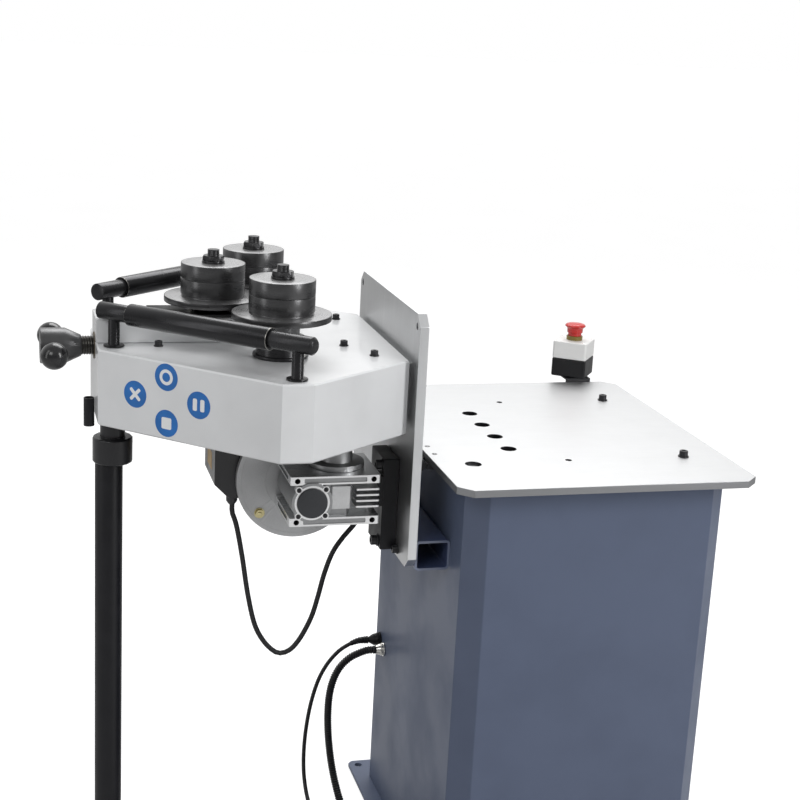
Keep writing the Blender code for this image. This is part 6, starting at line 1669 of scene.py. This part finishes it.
def fastener(name, rings):
    """A fastener drawn at the origin in millimetres, with a hexagon socket in its top."""
    bm = bmesh.new()
    loops = []
    for radius, height, hexagonal in rings:
        loop = []
        for i in range(SCREW_STEPS):
            angle = math.tau * i / SCREW_STEPS
            reach = hexagon(radius, angle) if hexagonal else radius
            loop.append((reach * math.cos(angle), reach * math.sin(angle), height))
        loops.append(ring_into(bm, loop, Matrix()))
    skin(bm, loops)
    bm.faces.new(loops[0])
    bm.faces.new(loops[-1])
    return kept_aside(name, bm)


def stud_nut():
    """A nut with its washer, on the end of a stud."""
    bm = bmesh.new()
    spin_into(bm, NUT_WASHER, Matrix(), FINE)
    hexagon_nut(bm, *NUT_BODY, Matrix())
    spin_into(bm, NUT_STUD, Matrix(), SMALL)
    return kept_aside("flange_nut", bm)


def scatter_tree():
    """Geometry Nodes that set a shape on every point, aimed by the point's own attribute."""
    tree = bpy.data.node_groups.new("set_on_points", "GeometryNodeTree")
    for name, way, kind in (
        ("Geometry", "INPUT", "NodeSocketGeometry"),
        ("Shape", "INPUT", "NodeSocketObject"),
        ("Size", "INPUT", "NodeSocketFloat"),
        ("Finish", "INPUT", "NodeSocketMaterial"),
        ("Geometry", "OUTPUT", "NodeSocketGeometry"),
    ):
        tree.interface.new_socket(name, in_out=way, socket_type=kind)
    made = {
        key: tree.nodes.new(kind)
        for key, kind in (
            ("in", "NodeGroupInput"),
            ("out", "NodeGroupOutput"),
            ("shape", "GeometryNodeObjectInfo"),
            ("aim", "GeometryNodeInputNamedAttribute"),
            ("turn", "FunctionNodeAlignRotationToVector"),
            ("set", "GeometryNodeInstanceOnPoints"),
            ("real", "GeometryNodeRealizeInstances"),
            ("dress", "GeometryNodeSetMaterial"),
        )
    }
    made["aim"].data_type = "FLOAT_VECTOR"
    made["aim"].inputs["Name"].default_value = "aim"
    made["turn"].axis = "Z"
    for source, output, target, socket in (
        ("in", "Geometry", "set", "Points"),
        ("in", "Shape", "shape", "Object"),
        ("shape", "Geometry", "set", "Instance"),
        ("aim", "Attribute", "turn", "Vector"),
        ("turn", "Rotation", "set", "Rotation"),
        ("in", "Size", "set", "Scale"),
        ("set", "Instances", "real", "Geometry"),
        ("real", "Geometry", "dress", "Geometry"),
        ("in", "Finish", "dress", "Material"),
        ("dress", "Geometry", "out", "Geometry"),
    ):
        tree.links.new(made[source].outputs[output], made[target].inputs[socket])
    return tree


points_tree = scatter_tree()
socket_names = {
    item.name: item.identifier
    for item in points_tree.interface.items_tree
    if item.item_type == "SOCKET" and item.in_out == "INPUT"
}


def set_out(name, shape, places, direction, size, body, finish=black_metal, slot="black_oxide"):
    """One mesh of the same shape at many places, all aimed in one direction."""
    mesh = bpy.data.meshes.new(name)
    mesh.from_pydata([tuple(place) for place in places], [], [])
    for item in mesh.attributes.new("aim", "FLOAT_VECTOR", "POINT").data:
        item.vector = direction
    obj = link(name, mesh)
    maker = obj.modifiers.new("set_out", "NODES")
    maker.node_group = points_tree
    maker[socket_names["Shape"]] = shape
    maker[socket_names["Size"]] = size
    maker[socket_names["Finish"]] = finish
    settled(obj)
    obj.data.set_sharp_from_angle(angle=SMOOTH_ANGLE)
    extra(obj, body, slot)


# A pixel of the photograph, and where its ray meets the machine
PHOTO_SIDE = 800


def seen_at(pixel, point, normal):
    """Where the camera's ray through a pixel of the photograph meets a plane."""
    camera = bpy.context.scene.camera
    half = PHOTO_SIDE / 2
    scale = camera.data.sensor_width / camera.data.lens / PHOTO_SIDE
    ray = Vector(((pixel[0] - half) * scale, (half - pixel[1]) * scale, -1))
    ray = camera.matrix_world.to_3x3() @ ray
    start = camera.matrix_world.translation
    share = (Vector(point) - start).dot(normal) / ray.dot(normal)
    return start + ray * share


HEAD_SCREWS = [(-0.6756, -0.0577), (-0.3508, 0.1304), (-0.3817, -0.067), (-0.3489, -0.1372)]
TABLE_SCREWS = [(0.176, -0.178), (0.176, 0.178)]
HINGE_SCREW_X = -0.2373
HINGE_Y = 0.1032
HINGE_SCREW_STEP = 0.0214
BRACKET_BAR = 26.2 * MM
BRACKET_PIXELS = [(382.5, 464.2), (377.4, 539.7)]
PLATE_BOLTS = [(-0.132, 0.622)]
PANEL_SCREW_X = 0.162
PANEL_SCREW_HEIGHTS = (0.092, 0.37, 0.648)
FLANGE_NUT = (-0.507, 0.663)


def fasteners():
    cap_screw = fastener("cap_screw", SCREW_RINGS)
    button_screw = fastener("button_screw", BUTTON_RINGS)
    flat_screw = fastener("flat_screw", FLAT_RINGS)
    nut = stud_nut()
    sides = (-1, 1)
    top = high("head_housing").z
    places = [(x, y, top) for x, y in HEAD_SCREWS]
    set_out("head_screws", cap_screw, places, UP, 0.92 * MM, "head")
    top = high("table_plate").z
    places = [(x, y, top) for x, y in TABLE_SCREWS]
    set_out("table_screws", cap_screw, places, UP, 1.1 * MM, "stand")
    rows = [side * HINGE_Y + step * HINGE_SCREW_STEP for side in sides for step in sides]
    places = [(HINGE_SCREW_X, y, top) for y in rows]
    set_out("hinge_screws", flat_screw, places, UP, 0.7 * MM, "stand")
    plane = RIGHT * (high("gearbox_bracket").x - BRACKET_BAR)
    places = [seen_at(pixel, plane, LEFT) for pixel in BRACKET_PIXELS]
    set_out("bracket_screws", cap_screw, places, LEFT, 1.25 * MM, "head")
    places = [(low("head_plate").x, y, z) for y, z in PLATE_BOLTS]
    set_out("plate_bolts", cap_screw, places, LEFT, 1.0 * MM, "head")
    panel = high("cabinet_rear_panel").y
    places = [(side * PANEL_SCREW_X, panel, z) for side in sides for z in PANEL_SCREW_HEIGHTS]
    set_out("panel_screws", button_screw, places, BACK, 0.9 * MM, "stand")
    case = low("gearbox_housing").y
    places = [(x, case, z) for x, z in cap_screw_places()]
    finish = (black_metal, "cast_aluminium")
    set_out("case_screws", button_screw, places, FRONT, 0.72 * MM, "head", *finish)
    places = [(FLANGE_NUT[0], low("motor_body").y, FLANGE_NUT[1])]
    set_out("flange_nuts", nut, places, FRONT, MM, "head", yellow_zinc, "nickel")
    for shape in (cap_screw, button_screw, flat_screw, nut):
        bpy.data.objects.remove(shape, do_unlink=True)


# The discs on the head's nose, with plain marks, and the bare label
DISC_PIXELS = [(166.3, 377.3), (135.2, 394.2), (198.7, 405.4), (166.5, 423.4)]
NOSE_NORMAL = Vector((-0.6857, -0.7279, 0))
NOSE_POINT = Vector((-0.770, -0.0775, 0))
DISC_RADIUS = 21 * MM
DISC_THICKNESS = 0.25 * MM
DISC_STEPS = 64
MARK_BOTTOM = 0.225 * MM
MARK_TOP = 0.35 * MM
CROSSING = 0.02 * MM

# The white marks on the discs: sizes and corner radii as shares of a disc's radius
RING_MARK = (0.34, 0.58)
CROSS_MARK = (1.2, 0.26, 0.1)
BAR_MARK = (0.36, 0.9, 0.12)
BAR_SPACING = 0.32
SQUARE_MARK = (0.86, 0.86, 0.12)
MARK_STEPS = 4


def face_matrix(place, normal):
    """Z along the normal, Y upwards."""
    across = UP.cross(normal).normalized()
    upright = Vector(normal).cross(across)
    turn = Matrix((across, upright, Vector(normal))).transposed().to_4x4()
    return Matrix.Translation(place) @ turn


def mark_outline(mark, centre=(0, 0)):
    return rounded_rectangle(*[share * DISC_RADIUS for share in mark], MARK_STEPS, centre)


def discs():
    """Blue discs with a white ring, cross, pair of bars or square."""
    bm = bmesh.new()
    disc = [(0, 0), (DISC_RADIUS, 0), (DISC_RADIUS, DISC_THICKNESS), (0, DISC_THICKNESS)]
    ends = (MARK_BOTTOM, MARK_TOP)
    ring, cross, bars, square = [
        face_matrix(seen_at(pixel, NOSE_POINT, NOSE_NORMAL), NOSE_NORMAL) for pixel in DISC_PIXELS
    ]
    for matrix in (ring, cross, bars, square):
        spin_into(bm, disc, matrix, DISC_STEPS)
    inner, outer = [share * DISC_RADIUS for share in RING_MARK]
    shape = [(inner, ends[0]), (outer, ends[0]), (outer, ends[1]), (inner, ends[1])]
    spin_into(bm, shape + shape[:1], ring, FINE, material=1)
    for angle, proud in ((45, 0), (135, CROSSING)):
        turn = cross @ Matrix.Rotation(math.radians(angle), 4, "Z")
        prism_into(bm, mark_outline(CROSS_MARK), turn, ends[0], ends[1] + proud, material=1)
    for side in (-1, 1):
        outline = mark_outline(BAR_MARK, (side * DISC_RADIUS * BAR_SPACING, 0))
        prism_into(bm, outline, bars, *ends, material=1)
    prism_into(bm, mark_outline(SQUARE_MARK), square, *ends, material=1)
    extra(new_piece("nose_discs", bm), "head", "head_paint", disc_blue, disc_white)


LABEL_SIZE = (46 * MM, 30 * MM)
LABEL_ROUND = 2 * MM
LABEL_RISE = 8 * MM
LABEL_ENDS = (-0.1 * MM, 0.25 * MM)


def label():
    """A bare tan label on the terminal box's left side."""
    place = middle("terminal_box") + UP * LABEL_RISE
    place.x = low("terminal_box").x
    outline = rounded_rectangle(*LABEL_SIZE, LABEL_ROUND)
    piece = prism("bare_label", outline, *LABEL_ENDS, face_matrix(place, LEFT))
    extra(piece, "head", "white_plastic", label_tan)


# Grease nipples
NIPPLE = [
    (0, 0),
    (4.2, 0),
    (4.2, 3),
    (2.4, 3.6),
    (2.4, 5),
    (3.1, 6),
    (3.1, 7),
    (1.6, 9),
    (0, 9.2),
]
SLIDE_NIPPLE = (-0.620, -0.008)
BOSS_NIPPLE = Vector((29 * MM, -27.5 * MM, 5 * MM))


def nipples():
    slide = [(*SLIDE_NIPPLE, high("slide_block").z)]
    on_bosses = [foot("bearing_boss_" + word) + BOSS_NIPPLE for word in ("front", "rear")]
    for name, body, places in (
        ("slide_nipple", "slide", slide),
        ("boss_nipples", "head", on_bosses),
    ):
        bm = bmesh.new()
        for place in places:
            spin_into(bm, mm(*NIPPLE), aimed(place), SMALL)
        extra(new_piece(name, bm), body, "nickel", nickel)


# Build every piece
mains, mains_path = mains_cable()
hose, hose_path = pedal_hose()
cable, cable_path = motor_cable()
table_top()
cabinet()
stop_tube()
plate()
head_shell()
for node, hub in (("roll_front", DRIVE_HUB), ("roll_rear", DRIVE_HUB), ("press_roll", PRESS_HUB)):
    roll(node, hub)
for node in ("drive_shaft_front", "drive_shaft_rear", "press_shaft"):
    roll_shaft(node)
for node in ("bearing_boss_front", "bearing_boss_rear"):
    boss(node)
rail("front", -1)
rail("rear", 1)
pressing_screw()
hub_and_handle()
leg()
gearbox()
outlet()
motor()
fan_cover()
copied("terminal_box", "terminal_case", terminal_plastic, 1.2 * MM, 2, 40)
station()
hinges()
gland("mains_gland", MAINS_DIAMETER, black_plastic)
gland("conduit_gland", CONDUIT_DIAMETER, nickel)
gland("motor_cable_gland", MOTOR_CABLE_DIAMETER, black_plastic)
relief = strain_relief(mains_path)
mains_end = plug()
pedal()
gears()
fasteners()
discs()
label()
nipples()


def length_of(points):
    return sum((second - first).length for first, second in zip(points, points[1:]))


length_of(mains_path)
length_of(hose_path)
length_of(cable_path)


# Floor, lamps and surroundings
FLOOR_REACH = 30
FLOOR_DROP = -0.5 * MM
STUDIO_STRENGTH = 0.55
STUDIO_LOW = (0.30, 0.30, 0.31, 1)
STUDIO_HIGH = (1, 1, 1, 1)
STUDIO_HIGH_FROM = 0.75
BEHIND_FROM = 0.7

# Each lamp's place, target, size and power
LAMPS = {
    "key": ((-2.6, -2.6, 3.0), (-0.45, 0, 0.9), (1.6, 1.2), 25),
    "left_strip": ((-2.4, -0.6, 1.6), (-0.5, 0, 0.9), (0.5, 2.0), 6),
    "right_strip": ((1.6, -2.2, 1.9), (-0.3, 0, 0.9), (0.6, 2.0), 44),
    "overhead": ((0.2, 1.6, 3.2), (-0.1, 0, 0.8), (2.4, 1.6), 62),
}


def floor():
    """A pale floor that takes the machine's shadow."""
    mesh = bpy.data.meshes.new("floor")
    signs = ((-1, -1), (1, -1), (1, 1), (-1, 1))
    corners = [(x * FLOOR_REACH, y * FLOOR_REACH, FLOOR_DROP) for x, y in signs]
    mesh.from_pydata(corners, [], [(0, 1, 2, 3)])
    dressed(link("floor", mesh), floor_white)


def lamp(name, place, target, size, power):
    data = bpy.data.lights.new(name, "AREA")
    data.shape = "RECTANGLE"
    data.size, data.size_y = size
    data.energy = power
    aim = (Vector(target) - Vector(place)).to_track_quat("-Z", "Y")
    matrix = Matrix.Translation(Vector(place)) @ aim.to_matrix().to_4x4()
    link(name, data).matrix_world = matrix


def surroundings():
    """White where the camera sees past the floor, and a soft studio in the reflections."""
    world = bpy.data.worlds.new("studio")
    world.use_nodes = True
    tree = world.node_tree
    tree.nodes.clear()
    made = {
        key: tree.nodes.new("ShaderNode" + kind)
        for key, kind in (
            ("out", "OutputWorld"),
            ("mix", "MixShader"),
            ("path", "LightPath"),
            ("white", "Background"),
            ("studio", "Background"),
            ("ramp", "ValToRGB"),
            ("split", "SeparateXYZ"),
            ("place", "TexCoord"),
            ("behind", "MapRange"),
            ("mirrored", "Math"),
            ("seen", "Math"),
        )
    }
    stops = made["ramp"].color_ramp.elements
    stops[0].color = STUDIO_LOW
    stops[1].position = STUDIO_HIGH_FROM
    stops[1].color = STUDIO_HIGH
    made["behind"].inputs["From Max"].default_value = BEHIND_FROM
    made["mirrored"].operation = "ADD"
    made["seen"].operation = "MULTIPLY_ADD"
    made["seen"].use_clamp = True
    made["white"].inputs["Color"].default_value = (1, 1, 1, 1)
    made["studio"].inputs["Strength"].default_value = STUDIO_STRENGTH
    for source, output, target, socket in (
        ("place", "Generated", "split", 0),
        ("split", "Z", "ramp", "Fac"),
        ("ramp", "Color", "studio", "Color"),
        ("split", "Y", "behind", "Value"),
        ("path", "Is Glossy Ray", "mirrored", 0),
        ("path", "Is Transmission Ray", "mirrored", 1),
        ("mirrored", 0, "seen", 0),
        ("behind", "Result", "seen", 1),
        ("path", "Is Camera Ray", "seen", 2),
        ("seen", 0, "mix", "Fac"),
        ("studio", 0, "mix", 1),
        ("white", 0, "mix", 2),
        ("mix", 0, "out", "Surface"),
    ):
        tree.links.new(made[source].outputs[output], made[target].inputs[socket])
    bpy.context.scene.world = world
    bpy.context.scene.view_settings.view_transform = "Standard"


floor()
for name, settings in LAMPS.items():
    lamp(name, *settings)
surroundings()
